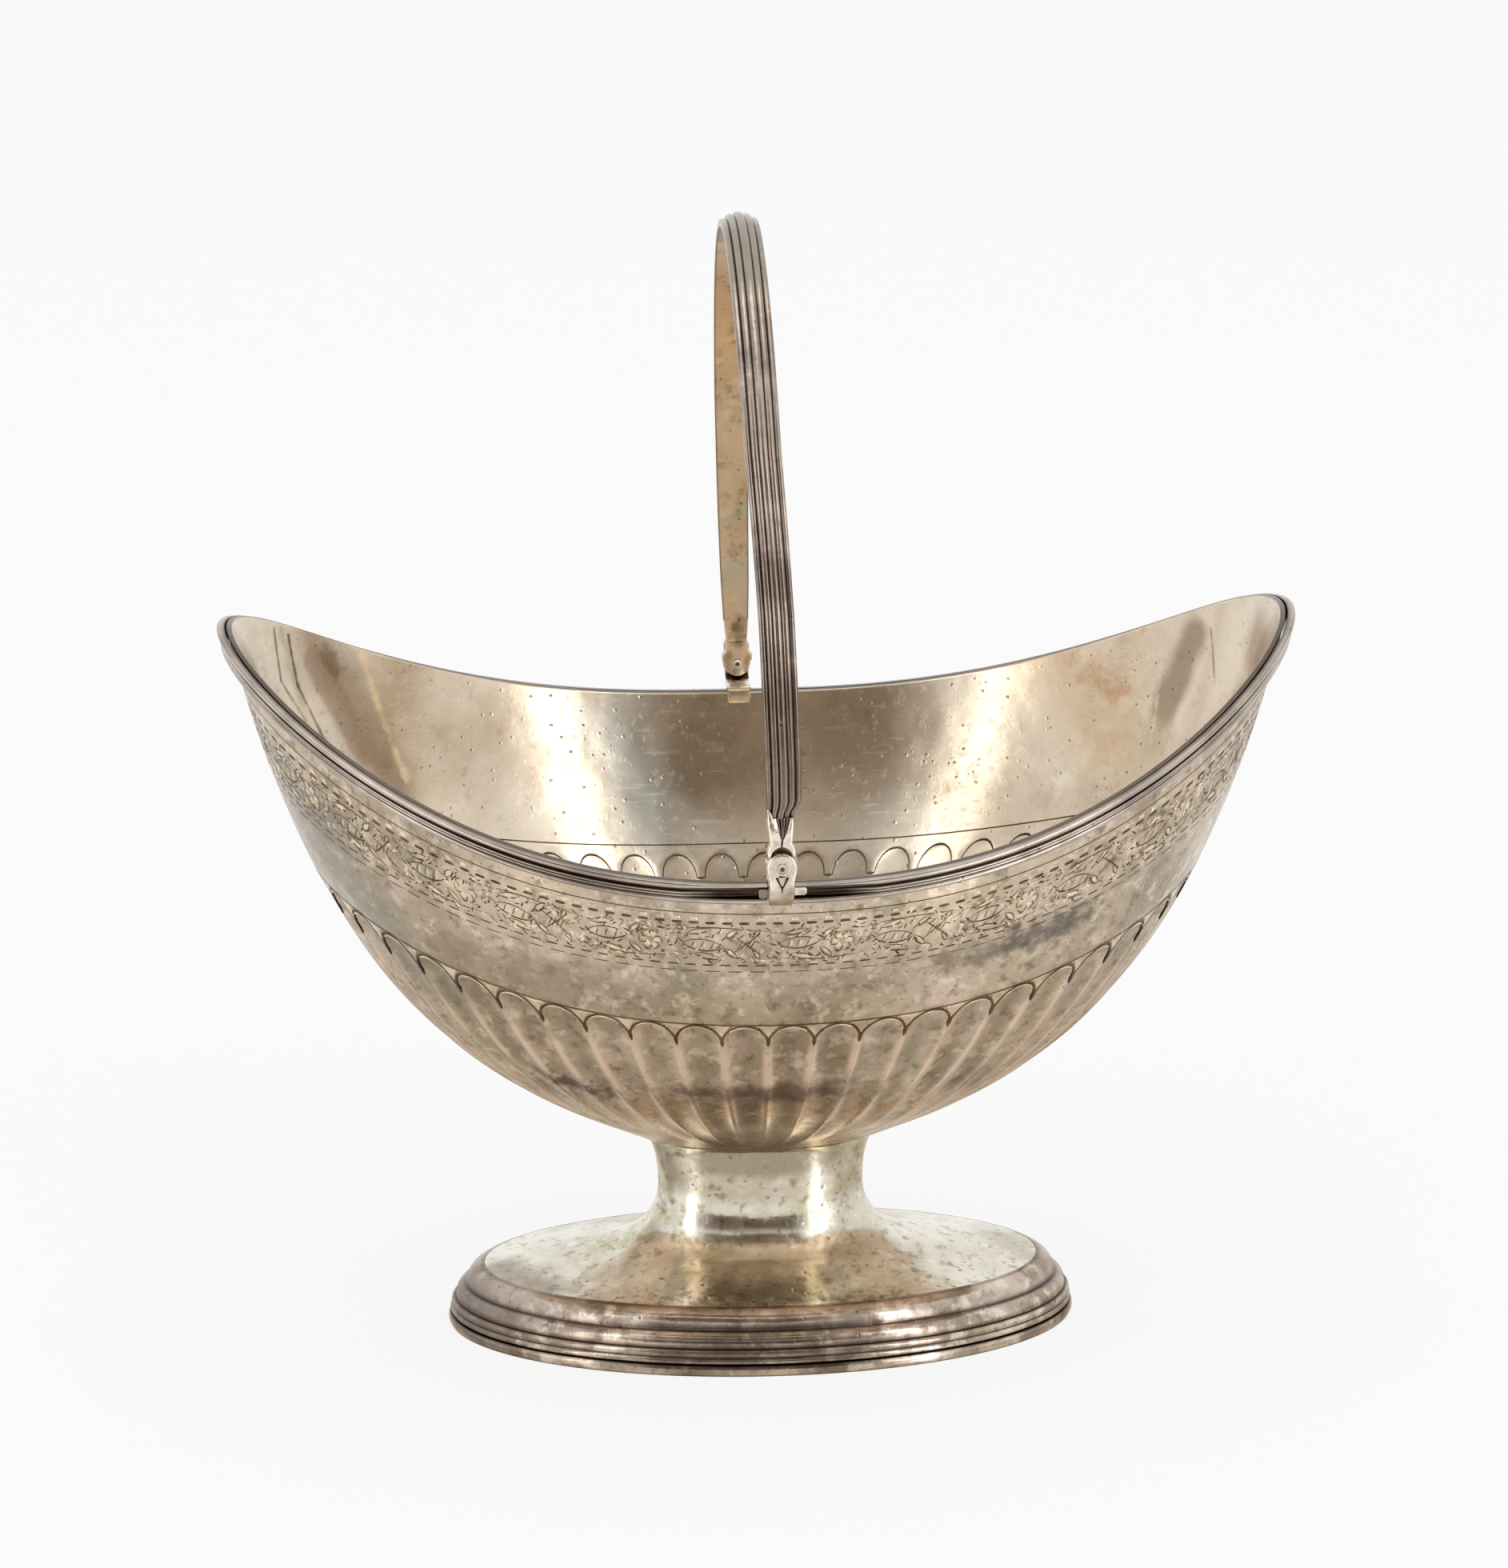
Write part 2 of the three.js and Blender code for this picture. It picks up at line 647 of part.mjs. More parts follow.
function makeHandleArch() {
  const start = Math.asin((terminalHeight + FIT_GAP) / archRise);
  const rings = [];
  for (let i = 0; i <= ARCH_STEPS; i += 1) {
    const angle = mix(start, Math.PI - start, i / ARCH_STEPS);
    const centre = new THREE.Vector3(
      0,
      -archDepth * Math.cos(angle),
      archRise * Math.sin(angle),
    );
    const outward = new THREE.Vector3(
      0,
      -archRise * Math.cos(angle),
      archDepth * Math.sin(angle),
    ).normalize();
    if (i === 0) outward.set(0, -1, 0);
    if (i === ARCH_STEPS) outward.set(0, 1, 0);
    const alongEnd = Math.min(1, (centre.z - terminalHeight) / HANDLE_TAPER_LENGTH);
    const width = mix(HANDLE_END_WIDTH, HANDLE_WIDTH, Math.sin((alongEnd * Math.PI) / 2));
    rings.push(
      archSection(width).map(([across, out]) =>
        centre
          .clone()
          .addScaledVector(outward, out)
          .add(new THREE.Vector3(across, 0, 0)),
      ),
    );
  }
  return new THREE.Mesh(loft(rings, false), handleSilver);
}

// Assembly

const basket = new THREE.Group();

function place(name, mesh, group = basket) {
  mesh.name = name;
  group.add(mesh);
}

place("bowl", makeBowl());
place("rim_wire_right", makeRimWire("right"));
place("rim_wire_left", makeRimWire("left"));
place("pedestal", makePedestal());
place("foot_base_ring", makeBorder(baseRingProfile, footSilver));
place("foot_reed_wire", makeBorder(reedProfile, wireSilver));
place("foot_step_wire", makeBorder(stepProfile, wireSilver));
place("hinge_lug_front", makeLug("front"));
place("hinge_lug_back", makeLug("back"));
place("hinge_pin_front", makePin("front"));
place("hinge_pin_back", makePin("back"));

// The handle's own frame has its origin between the two pins.
const handle = new THREE.Group();
handle.position.z = pinHeight;
handle.rotation.y = THREE.MathUtils.degToRad(-HANDLE_LEAN);
basket.add(handle);
place("handle_arch", makeHandleArch(), handle);
place("handle_terminal_front", makeTerminal("front"), handle);
place("handle_terminal_back", makeTerminal("back"), handle);

export default basket;
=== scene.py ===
# %% [markdown]
# # A silver sugar basket
# A boat-shaped bowl with hollow flutes stands on an oval pedestal, and a reeded handle swings
# over it. This lesson dresses the plain CAD model: it gives each piece its fine shape, cuts the
# engraved borders, and gives the old silver its tarnish. All lengths in the helpers are in
# millimetres, and the meshes are turned to metres when they are made.

# %% Load the frame
import math

import bpy
import numpy as np
from mathutils import Matrix, Vector


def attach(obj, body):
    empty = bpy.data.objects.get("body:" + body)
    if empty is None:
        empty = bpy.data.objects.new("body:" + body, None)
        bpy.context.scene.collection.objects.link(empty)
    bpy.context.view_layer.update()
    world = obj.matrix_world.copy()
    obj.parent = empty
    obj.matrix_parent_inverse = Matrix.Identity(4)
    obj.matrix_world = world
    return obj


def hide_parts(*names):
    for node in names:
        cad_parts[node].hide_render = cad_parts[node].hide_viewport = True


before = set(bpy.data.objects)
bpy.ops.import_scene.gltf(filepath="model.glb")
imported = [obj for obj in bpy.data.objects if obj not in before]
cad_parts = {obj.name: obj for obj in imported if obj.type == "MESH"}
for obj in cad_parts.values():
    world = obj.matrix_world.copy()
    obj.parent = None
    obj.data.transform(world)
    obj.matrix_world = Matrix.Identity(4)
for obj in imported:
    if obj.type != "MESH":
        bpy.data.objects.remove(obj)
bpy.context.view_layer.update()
scene = bpy.context.scene
MM = 0.001
print("CAD nodes:", sorted(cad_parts))

# %% [markdown]
# ## The camera
# The photograph was taken from a little over a metre away, slightly above the rim and a few
# degrees to the left. The focal length follows from how the ovals of rim and foot look in it.
# The picture is taller than it is wide, so its height takes the sensor's full width.

# %% Camera
TARGET = Vector((-0.652, 0, 86.67)) * MM
CAMERA_DISTANCE = 1.05
CAMERA_TURN = math.radians(-3.441)
CAMERA_RISE = math.radians(16.718)
CAMERA_ROLL = math.radians(-0.308)
PHOTO_HEIGHT = 1960
FOCAL_PIXELS = 8532.2
SENSOR_WIDTH = 36

back = Vector(
    (
        math.sin(CAMERA_TURN) * math.cos(CAMERA_RISE),
        -math.cos(CAMERA_TURN) * math.cos(CAMERA_RISE),
        math.sin(CAMERA_RISE),
    )
)
level_right = (-back).cross(Vector((0, 0, 1))).normalized()
level_up = level_right.cross(-back)
right = level_right * math.cos(CAMERA_ROLL) + level_up * math.sin(CAMERA_ROLL)
up = -level_right * math.sin(CAMERA_ROLL) + level_up * math.cos(CAMERA_ROLL)

lens = bpy.data.cameras.new("camera")
lens.sensor_width = SENSOR_WIDTH
lens.lens = FOCAL_PIXELS / PHOTO_HEIGHT * SENSOR_WIDTH
lens.clip_start = 0.01
camera = bpy.data.objects.new("camera", lens)
camera.matrix_world = Matrix((right, up, back)).transposed().to_4x4()
camera.matrix_world.translation = TARGET + back * CAMERA_DISTANCE
scene.collection.objects.link(camera)
scene.camera = camera
scene.view_settings.view_transform = "Standard"
print("lens", round(lens.lens, 1), "mm")

# %% [markdown]
# ## Helpers for node trees
# Materials and Geometry Nodes trees are both built from nodes, so one helper adds a node,
# sets its plain values and links the sockets that are given to it. The others are short names
# for the nodes that are used most.


# %% Node helpers
FLOAT = "NodeSocketFloat"
VECTOR = "NodeSocketVector"
GEOMETRY = "NodeSocketGeometry"
VALUE_RESULTS = ("DOT_PRODUCT", "DISTANCE")


def add_node(tree, kind, inputs=None, **settings):
    """Adds a node. An input is a plain value, or a socket that is linked."""
    made = tree.nodes.new(kind)
    for name, value in settings.items():
        setattr(made, name, value)
    for key, value in (inputs or {}).items():
        if isinstance(value, bpy.types.NodeSocket):
            tree.links.new(value, made.inputs[key])
        else:
            made.inputs[key].default_value = value
    return made


def calc(tree, operation, *values, clamp=False):
    """Arithmetic on numbers."""
    numbers = dict(enumerate(values))
    made = add_node(tree, "ShaderNodeMath", numbers, operation=operation, use_clamp=clamp)
    return made.outputs[0]


def product(tree, *values):
    """The product of two or more numbers."""
    total = values[0]
    for value in values[1:]:
        total = calc(tree, "MULTIPLY", total, value)
    return total


def arrow(tree, operation, *values):
    """Arithmetic on vectors."""
    numbers = dict(enumerate(values))
    made = add_node(tree, "ShaderNodeVectorMath", numbers, operation=operation)
    return made.outputs["Value" if operation in VALUE_RESULTS else 0]


def scaled(tree, vector, factor):
    inputs = {0: vector, "Scale": factor}
    return add_node(tree, "ShaderNodeVectorMath", inputs, operation="SCALE").outputs[0]


def noise(tree, place, scale, detail, **more):
    """A noise's value, from 0 to 1."""
    inputs = {"Vector": place, "Scale": scale, "Detail": detail, **more}
    return add_node(tree, "ShaderNodeTexNoise", inputs).outputs["Fac"]


def steps_between(tree, value, low, high):
    """A soft step from 0 at low to 1 at high."""
    inputs = {"Value": value, "From Min": low, "From Max": high}
    made = add_node(tree, "ShaderNodeMapRange", inputs, interpolation_type="SMOOTHSTEP")
    return made.outputs["Result"]


def attribute(tree, name):
    """A number that is stored on the mesh's points."""
    return add_node(tree, "ShaderNodeAttribute", attribute_name=name).outputs["Fac"]


def new_tree(name, kind, inputs, outputs):
    """An empty node group with named sockets: the group, its inputs and its outputs."""
    tree = bpy.data.node_groups.new(name, kind)
    for label, socket_kind, value in inputs:
        socket = tree.interface.new_socket(label, in_out="INPUT", socket_type=socket_kind)
        if value is not None:
            socket.default_value = value
    for label, socket_kind in outputs:
        tree.interface.new_socket(label, in_out="OUTPUT", socket_type=socket_kind)
    given = tree.nodes.new("NodeGroupInput").outputs
    result = tree.nodes.new("NodeGroupOutput").inputs
    return tree, given, result


def bare_material(name):
    """A material without nodes, and its tree."""
    material = bpy.data.materials.new(name)
    material.use_nodes = True
    material.node_tree.nodes.clear()
    return material, material.node_tree


def colour(red, green, blue):
    """A linear colour from the numbers of a screen colour, 0 to 255."""
    linear = []
    for value in (red, green, blue):
        share = value / 255
        linear.append(share / 12.92 if share < 0.04045 else ((share + 0.055) / 1.055) ** 2.4)
    return (*linear, 1.0)


def soft_step(value, width):
    """The same soft step for plain numbers, from 0 at 0 to 1 at the width."""
    share = np.clip(value / width, 0, 1)
    return share * share * (3 - 2 * share)


# %% [markdown]
# ## Studio
# Silver shows its surroundings more than its own colour. The photograph has a pure white
# surround, two upright bright bands in the bowl and on the stem, and a dim middle where the
# dark room behind the camera is reflected. So the studio has a white world, two tall strip
# lamps on either side of the camera, a square lamp overhead, and a dim screen behind the
# camera that only reflections see. The screen starts at the horizon, where the stem turns dark.
# It is weaker in a belt about halfway up, ends high up, and fades at its sides. A second screen
# shades the table round the foot and is lighter below the strip lamps. The floor shows the soft
# shadow, but reflections pass it by and meet the white world.

# %% World
ROOM_LEVEL = 0.7
WHITE = (1, 1, 1, 1)
world = bpy.data.worlds.new("white_room")
world.use_nodes = True
scene.world = world
tree = world.node_tree
tree.nodes.clear()
path = tree.nodes.new("ShaderNodeLightPath")
seen = calc(tree, "MAXIMUM", path.outputs["Is Camera Ray"], path.outputs["Is Glossy Ray"])
seen = calc(tree, "MAXIMUM", seen, path.outputs["Is Transmission Ray"])
room_light, white_wall = [
    add_node(tree, "ShaderNodeBackground", {"Color": WHITE, "Strength": level}).outputs[0]
    for level in (ROOM_LEVEL, 1.0)
]
shown = add_node(tree, "ShaderNodeMixShader", {0: seen, 1: room_light, 2: white_wall})
add_node(tree, "ShaderNodeOutputWorld", {"Surface": shown.outputs[0]})
print("world: white for the camera and reflections")


# %% Floor
FLOOR_SIZE = 6.0
FLOOR_TONE = (0.9, 0.9, 0.9, 1)
FLOOR_SHADOW_SHARE = 0.16
half = FLOOR_SIZE / 2
corners = [(-half, -half, 0), (half, -half, 0), (half, half, 0), (-half, half, 0)]
floor_mesh = bpy.data.meshes.new("floor")
floor_mesh.from_pydata(corners, [], [(0, 1, 2, 3)])
floor = bpy.data.objects.new("floor", floor_mesh)
scene.collection.objects.link(floor)
floor.visible_glossy = False
floor.visible_shadow = False
floor_white, tree = bare_material("floor_white")
path = tree.nodes.new("ShaderNodeLightPath")
paper = add_node(tree, "ShaderNodeBsdfDiffuse", {"Color": FLOOR_TONE})
glow = add_node(tree, "ShaderNodeEmission", {"Color": WHITE, "Strength": 1.0})
share = calc(tree, "MULTIPLY", path.outputs["Is Camera Ray"], 1 - FLOOR_SHADOW_SHARE)
mixed = add_node(tree, "ShaderNodeMixShader", {0: share, 1: paper.outputs[0], 2: glow.outputs[0]})
add_node(tree, "ShaderNodeOutputMaterial", {"Surface": mixed.outputs[0]})
floor_mesh.materials.append(floor_white)
print("floor", FLOOR_SIZE, "m")

# %% Strip lamps
OBJECT_MIDDLE = Vector((0, 0, 0.07))
STRIP_TURN = 40.4
STRIP_SIZE = (0.24, 2.9)
WATTS_FOR_WHITE = 4


def around(turn, rise, distance):
    """A point seen from the object, turned from the camera's side and raised, in degrees."""
    angle = math.radians(-90 + turn) + CAMERA_TURN
    level = math.cos(math.radians(rise)) * distance
    high = math.sin(math.radians(rise)) * distance
    return OBJECT_MIDDLE + Vector((math.cos(angle) * level, math.sin(angle) * level, high))


def add_lamp(name, turn, rise, distance, size, level):
    """A soft lamp whose brightness in a mirror is level times that of white."""
    light = bpy.data.lights.new(name, "AREA")
    light.shape = "RECTANGLE"
    light.size, light.size_y = size
    light.energy = level * size[0] * size[1] * WATTS_FOR_WHITE
    lamp = bpy.data.objects.new(name, light)
    scene.collection.objects.link(lamp)
    place = around(turn, rise, distance)
    lamp.matrix_world = (place - OBJECT_MIDDLE).to_track_quat("Z", "Y").to_matrix().to_4x4()
    lamp.matrix_world.translation = place
    lamp.visible_camera = False


add_lamp("strip_left", -STRIP_TURN, 2, 1.5, STRIP_SIZE, 1.6)
add_lamp("strip_right", STRIP_TURN, 2, 1.5, STRIP_SIZE, 2.4)
add_lamp("ceiling", 20, 88, 1.6, (0.8, 0.8), 1.2)

# %% Screens that only reflections see
DIM_ROOM = colour(119, 105, 93)
TABLE_SHADE = colour(222, 213, 200)
SCREEN_STEPS = 60
SCREEN_DISTANCE = 1.9
SCREEN_TURN = 37
SIDE_FADE = 20
SCREEN_RISES = (0.5, 66)
HORIZON_FADE = 2
LOWER_PART = {"end": 44, "fade": 24}
UPPER_PART = {"start": 33, "fade": 8}


def sheet_mesh(name, points):
    """A mesh in metres over rows and columns of points."""
    rows, columns = points.shape[:2]
    index = np.arange(rows * columns).reshape(rows, columns)
    faces = np.stack([index[:-1, :-1], index[:-1, 1:], index[1:, 1:], index[1:, :-1]], -1)
    mesh = bpy.data.meshes.new(name)
    mesh.from_pydata(points.reshape(-1, 3).tolist(), [], faces.reshape(-1, 4).tolist())
    return mesh


def add_screen(name, points, solid, tone):
    """A sheet that only reflections see. It fades where its solid value does."""
    mesh = sheet_mesh(name, points)
    made = mesh.attributes.new("solid", "FLOAT", "POINT")
    made.data.foreach_set("value", solid.astype(np.float32).ravel())
    screen = bpy.data.objects.new(name, mesh)
    scene.collection.objects.link(screen)
    for ray in ("camera", "diffuse", "shadow", "transmission", "volume_scatter"):
        setattr(screen, "visible_" + ray, False)
    material, tree = bare_material(name)
    clear = tree.nodes.new("ShaderNodeBsdfTransparent")
    dim = add_node(tree, "ShaderNodeEmission", {"Color": tone, "Strength": 1.0})
    inputs = {0: attribute(tree, "solid"), 1: clear.outputs[0], 2: dim.outputs[0]}
    mixed = add_node(tree, "ShaderNodeMixShader", inputs)
    add_node(tree, "ShaderNodeOutputMaterial", {"Surface": mixed.outputs[0]})
    mesh.materials.append(material)


turns, rises = np.meshgrid(
    np.linspace(-SCREEN_TURN, SCREEN_TURN, SCREEN_STEPS), np.linspace(*SCREEN_RISES, SCREEN_STEPS)
)
room_points = np.array(
    [[around(t, r, SCREEN_DISTANCE) for t, r in zip(*row)] for row in zip(turns, rises)]
)
lower_part = soft_step(LOWER_PART["end"] - rises, LOWER_PART["fade"])
upper_part = soft_step(rises - UPPER_PART["start"], UPPER_PART["fade"])
upper_part = upper_part * soft_step(SCREEN_RISES[1] - rises, UPPER_PART["fade"])
room_solid = soft_step(SCREEN_TURN - np.abs(turns), SIDE_FADE)
room_solid = room_solid * soft_step(rises - SCREEN_RISES[0], HORIZON_FADE)
room_solid = room_solid * np.maximum(lower_part, upper_part)
add_screen("dim_room", room_points, room_solid, DIM_ROOM)
print("dim room:", SCREEN_TURN * 2, "degrees wide")

# %% Shade on the table
SHADE_REACH = (0.15, 0.11)
SHADE_DEPTH = -0.0005
OPEN_WIDTH = 7
LEFT_OPEN = 0.45
RIGHT_OPEN = 0.9
reach, turns = np.meshgrid(np.linspace(0.05, 1, 20), np.linspace(0, 2 * math.pi, 145))
shade_points = np.stack(
    [
        reach * SHADE_REACH[0] * np.cos(turns),
        reach * SHADE_REACH[1] * np.sin(turns),
        np.full_like(reach, SHADE_DEPTH),
    ],
    -1,
)
shade_solid = soft_step(1 - reach, 0.5)
for side, clear in ((-1, LEFT_OPEN), (1, RIGHT_OPEN)):
    strip = math.radians(270 + side * STRIP_TURN) + CAMERA_TURN
    off_strip = np.degrees(np.arctan2(np.sin(turns - strip), np.cos(turns - strip)))
    shade_solid = shade_solid * (1 - clear * np.exp(-((off_strip / OPEN_WIDTH) ** 2)))
add_screen("table_shade", shade_points, shade_solid, TABLE_SHADE)
print("table shade:", len(shade_solid), "directions")

# %% [markdown]
# ## Shader groups for old silver
# All the silver has the same history, so its effects are groups that each material places with
# its own values: clouds of tarnish, single stains and patches of painted light and shade, pits,
# fine wiping scratches, and the wear on the flutes, whose ridges also get a painted highlight.
# The groups put out only masks, and some of these serve as heights too. Each material keeps its
# own Principled shader, outside the groups.

# %% Group: clouds of tarnish
CLOUD_INPUTS = [
    ("Place", VECTOR, None),
    ("Scale", FLOAT, 60.0),
    ("Seed", FLOAT, 0.0),
    ("Start", FLOAT, 0.45),
    ("End", FLOAT, 0.7),
]
cloud_group, given, result = new_tree(
    "tarnish_clouds", "ShaderNodeTree", CLOUD_INPUTS, [("Mask", FLOAT)]
)
inputs = {"Vector": given["Place"], "W": given["Seed"], "Scale": given["Scale"]}
inputs.update({"Detail": 7.0, "Roughness": 0.62})
broad = add_node(cloud_group, "ShaderNodeTexNoise", inputs, noise_dimensions="4D")
cloud = steps_between(cloud_group, broad.outputs["Fac"], given["Start"], given["End"])
cloud_group.links.new(cloud, result["Mask"])
print("clouds:", len(cloud_group.nodes), "nodes")

# %% Group: one stain, streak, or patch of painted light and shade
STAIN_AND_LIGHT_INPUTS = [
    ("Place", VECTOR, None),
    ("From", VECTOR, None),
    ("To", VECTOR, None),
    ("Width", FLOAT, 0.003),
    ("Core", FLOAT, 0.35),
    ("Raggedness", FLOAT, 0.5),
    ("Scale", FLOAT, 150.0),
]
stain_and_light_group, given, result = new_tree("stain", "ShaderNodeTree", STAIN_AND_LIGHT_INPUTS, [("Mask", FLOAT)])
tree = stain_and_light_group
run = arrow(tree, "SUBTRACT", given["To"], given["From"])
off = arrow(tree, "SUBTRACT", given["Place"], given["From"])
gone, whole = arrow(tree, "DOT_PRODUCT", off, run), arrow(tree, "DOT_PRODUCT", run, run)
along = calc(tree, "DIVIDE", gone, whole, clamp=True)
nearest = arrow(tree, "ADD", given["From"], scaled(tree, run, along))
span = arrow(tree, "DISTANCE", given["Place"], nearest)
span = calc(tree, "DIVIDE", span, given["Width"])
ragged = noise(tree, given["Place"], given["Scale"], 6.0, Roughness=0.6)
rough_edge = product(tree, calc(tree, "SUBTRACT", ragged, 0.5), given["Raggedness"], 2.0)
edge = calc(tree, "ADD", span, rough_edge)
tree.links.new(steps_between(tree, edge, 1.0, given["Core"]), result["Mask"])
print("stain:", len(tree.nodes), "nodes")

# %% Group: pits
PIT_INPUTS = [
    ("Place", VECTOR, None),
    ("Scale", FLOAT, 500.0),
    ("Size", FLOAT, 0.18),
    ("Share", FLOAT, 0.5),
]
pit_group, given, result = new_tree("pits", "ShaderNodeTree", PIT_INPUTS, [("Mask", FLOAT)])
tree = pit_group
cells = add_node(
    tree, "ShaderNodeTexVoronoi", {"Vector": given["Place"], "Scale": given["Scale"]}
)
chosen = add_node(tree, "ShaderNodeSeparateColor", {0: cells.outputs["Color"]})
kept = product(tree, noise(tree, given["Place"], 90.0, 4.0), given["Share"], 2.0)
kept = calc(tree, "LESS_THAN", chosen.outputs[0], kept)
dot = steps_between(tree, cells.outputs["Distance"], given["Size"], 0.02)
tree.links.new(product(tree, dot, kept), result["Mask"])
print("pits:", len(tree.nodes), "nodes")

# %% Group: wiping scratches
WIPE_STRETCHES = (((60, 900, 900), 0.35), ((900, 60, 700), -0.6))
wipe_group, given, result = new_tree(
    "wiping_scratches",
    "ShaderNodeTree",
    [("Place", VECTOR, None), ("Scale", FLOAT, 1.0)],
    [("Mask", FLOAT)],
)
wipes = []
for stretch, turn in WIPE_STRETCHES:
    inputs = {"Vector": given["Place"], "Rotation": (turn, turn * 0.6, turn), "Scale": stretch}
    drawn = add_node(wipe_group, "ShaderNodeMapping", inputs).outputs[0]
    wave = noise(wipe_group, drawn, given["Scale"], 3.0)
    wipes.append(steps_between(wipe_group, wave, 0.56, 0.72))
wipe_group.links.new(calc(wipe_group, "MAXIMUM", *wipes), result["Mask"])
print("scratches:", len(wipe_group.nodes), "nodes")

# %% Group: worn ridges of the flutes, with their painted highlight
ridge_group, given, result = new_tree(
    "flute_wear",
    "ShaderNodeTree",
    [("Place", VECTOR, None), ("Hollow", FLOAT, 0.0), ("Share Up", FLOAT, 0.0)],
    [("Ridge", FLOAT), ("Valley", FLOAT)],
)
tree = ridge_group
low_enough = steps_between(tree, given["Share Up"], 0.55, 0.44)
patchy = steps_between(tree, noise(tree, given["Place"], 90.0, 4.0), 0.3, 0.54)
# The ridges low on the bowl: worn metal, and a painted highlight along them.
lit_worn_ridge = steps_between(tree, given["Hollow"], 0.62, 0.2)
tree.links.new(product(tree, lit_worn_ridge, low_enough, patchy), result["Ridge"])
tree.links.new(steps_between(tree, given["Hollow"], 0.6, 1.0), result["Valley"])
print("shader groups:", [g.name for g in bpy.data.node_groups])

# %% [markdown]
# ## Silver materials
# Each finish is one Principled metal. Its colour starts from a light and a dark tone of the
# same silver, mixed by broad clouds, and then each kind of dirt is laid over it; some finishes
# also get painted highlights, painted reflections and painted shade. Roughness rises with the
# dirt, and the pits and scratches make a fine bump. The bowl, the foot and the outside of the
# handle also get a soft wave.


# %% Material helpers
def lay_over(tree, below, over, mask, amount=1.0):
    """Mixes a colour over another where the mask is, up to an amount."""
    fac = mask if amount == 1.0 else product(tree, mask, amount)
    inputs = {0: fac, 6: below, 7: over}
    return add_node(tree, "ShaderNodeMix", inputs, data_type="RGBA").outputs[2]


def clouds_on(tree, place, scale, start, end, seed):
    inputs = {"Place": place, "Scale": scale, "Start": start, "End": end, "Seed": seed}
    return add_node(tree, "ShaderNodeGroup", inputs, node_tree=cloud_group).outputs[0]


# One soft patch, used for stains and for patches of painted light and shade.
def stain_and_light_on(tree, place, start, end, width, core=0.35, ragged=0.5, scale=150.0):
    inputs = {"Place": place, "From": Vector(start) * MM, "To": Vector(end) * MM}
    inputs.update({"Width": width * MM, "Core": core, "Raggedness": ragged, "Scale": scale})
    return add_node(tree, "ShaderNodeGroup", inputs, node_tree=stain_and_light_group).outputs[0]


def start_metal(name):
    """A material with one Principled metal: it, its tree, its shader and its coordinates."""
    material = bpy.data.materials.new(name)
    material.use_nodes = True
    tree = material.node_tree
    shader = tree.nodes["Principled BSDF"]
    shader.inputs["Metallic"].default_value = 1.0
    place = tree.nodes.new("ShaderNodeTexCoord").outputs["Object"]
    return material, tree, shader, place


print("material helpers are ready")

# %% Material maker
DARK_TARNISH = colour(96, 78, 66)
PURPLE_TARNISH = colour(84, 70, 72)
PIT_BROWN = colour(84, 66, 50)
EDGE_TARNISH = colour(104, 92, 82)
RIDGE_WEAR_AND_HIGHLIGHT_AMOUNT = 0.85
VALLEY_AMOUNT = 0.3
SPECK_SHARE = 0.7
DIRT_ROUGHNESS = 0.18
WIPE_ROUGHNESS = 0.08
WIPE_HEIGHT = 0.15
FINE_BUMP = {"Strength": 0.35, "Distance": 0.0001}
WAVE_SCALE = 75.0
WAVE_HEIGHT = 0.001


def worn_and_highlit_flutes(tree, place, skin, ridge_wear_and_highlight_tone):
    """Worn ridges, lightened as wear and as painted highlight, and dark valleys over a colour."""
    inputs = {"Place": place, "Hollow": attribute(tree, "hollow")}
    inputs["Share Up"] = attribute(tree, "share_up")
    lit_worn_ridge, valley = add_node(tree, "ShaderNodeGroup", inputs, node_tree=ridge_group).outputs
    skin = lay_over(tree, skin, ridge_wear_and_highlight_tone, lit_worn_ridge, RIDGE_WEAR_AND_HIGHLIGHT_AMOUNT)
    return lay_over(tree, skin, DARK_TARNISH, valley, VALLEY_AMOUNT)


def pits_on(tree, place, scale, size, share, specks):
    """Pits all over, and more of them on the specked stretches."""
    for start, end, width in specks:
        patch = product(tree, stain_and_light_on(tree, place, start, end, width), SPECK_SHARE)
        share = calc(tree, "ADD", patch, share)
    inputs = {"Place": place, "Scale": scale, "Size": size, "Share": share}
    return add_node(tree, "ShaderNodeGroup", inputs, node_tree=pit_group).outputs[0]


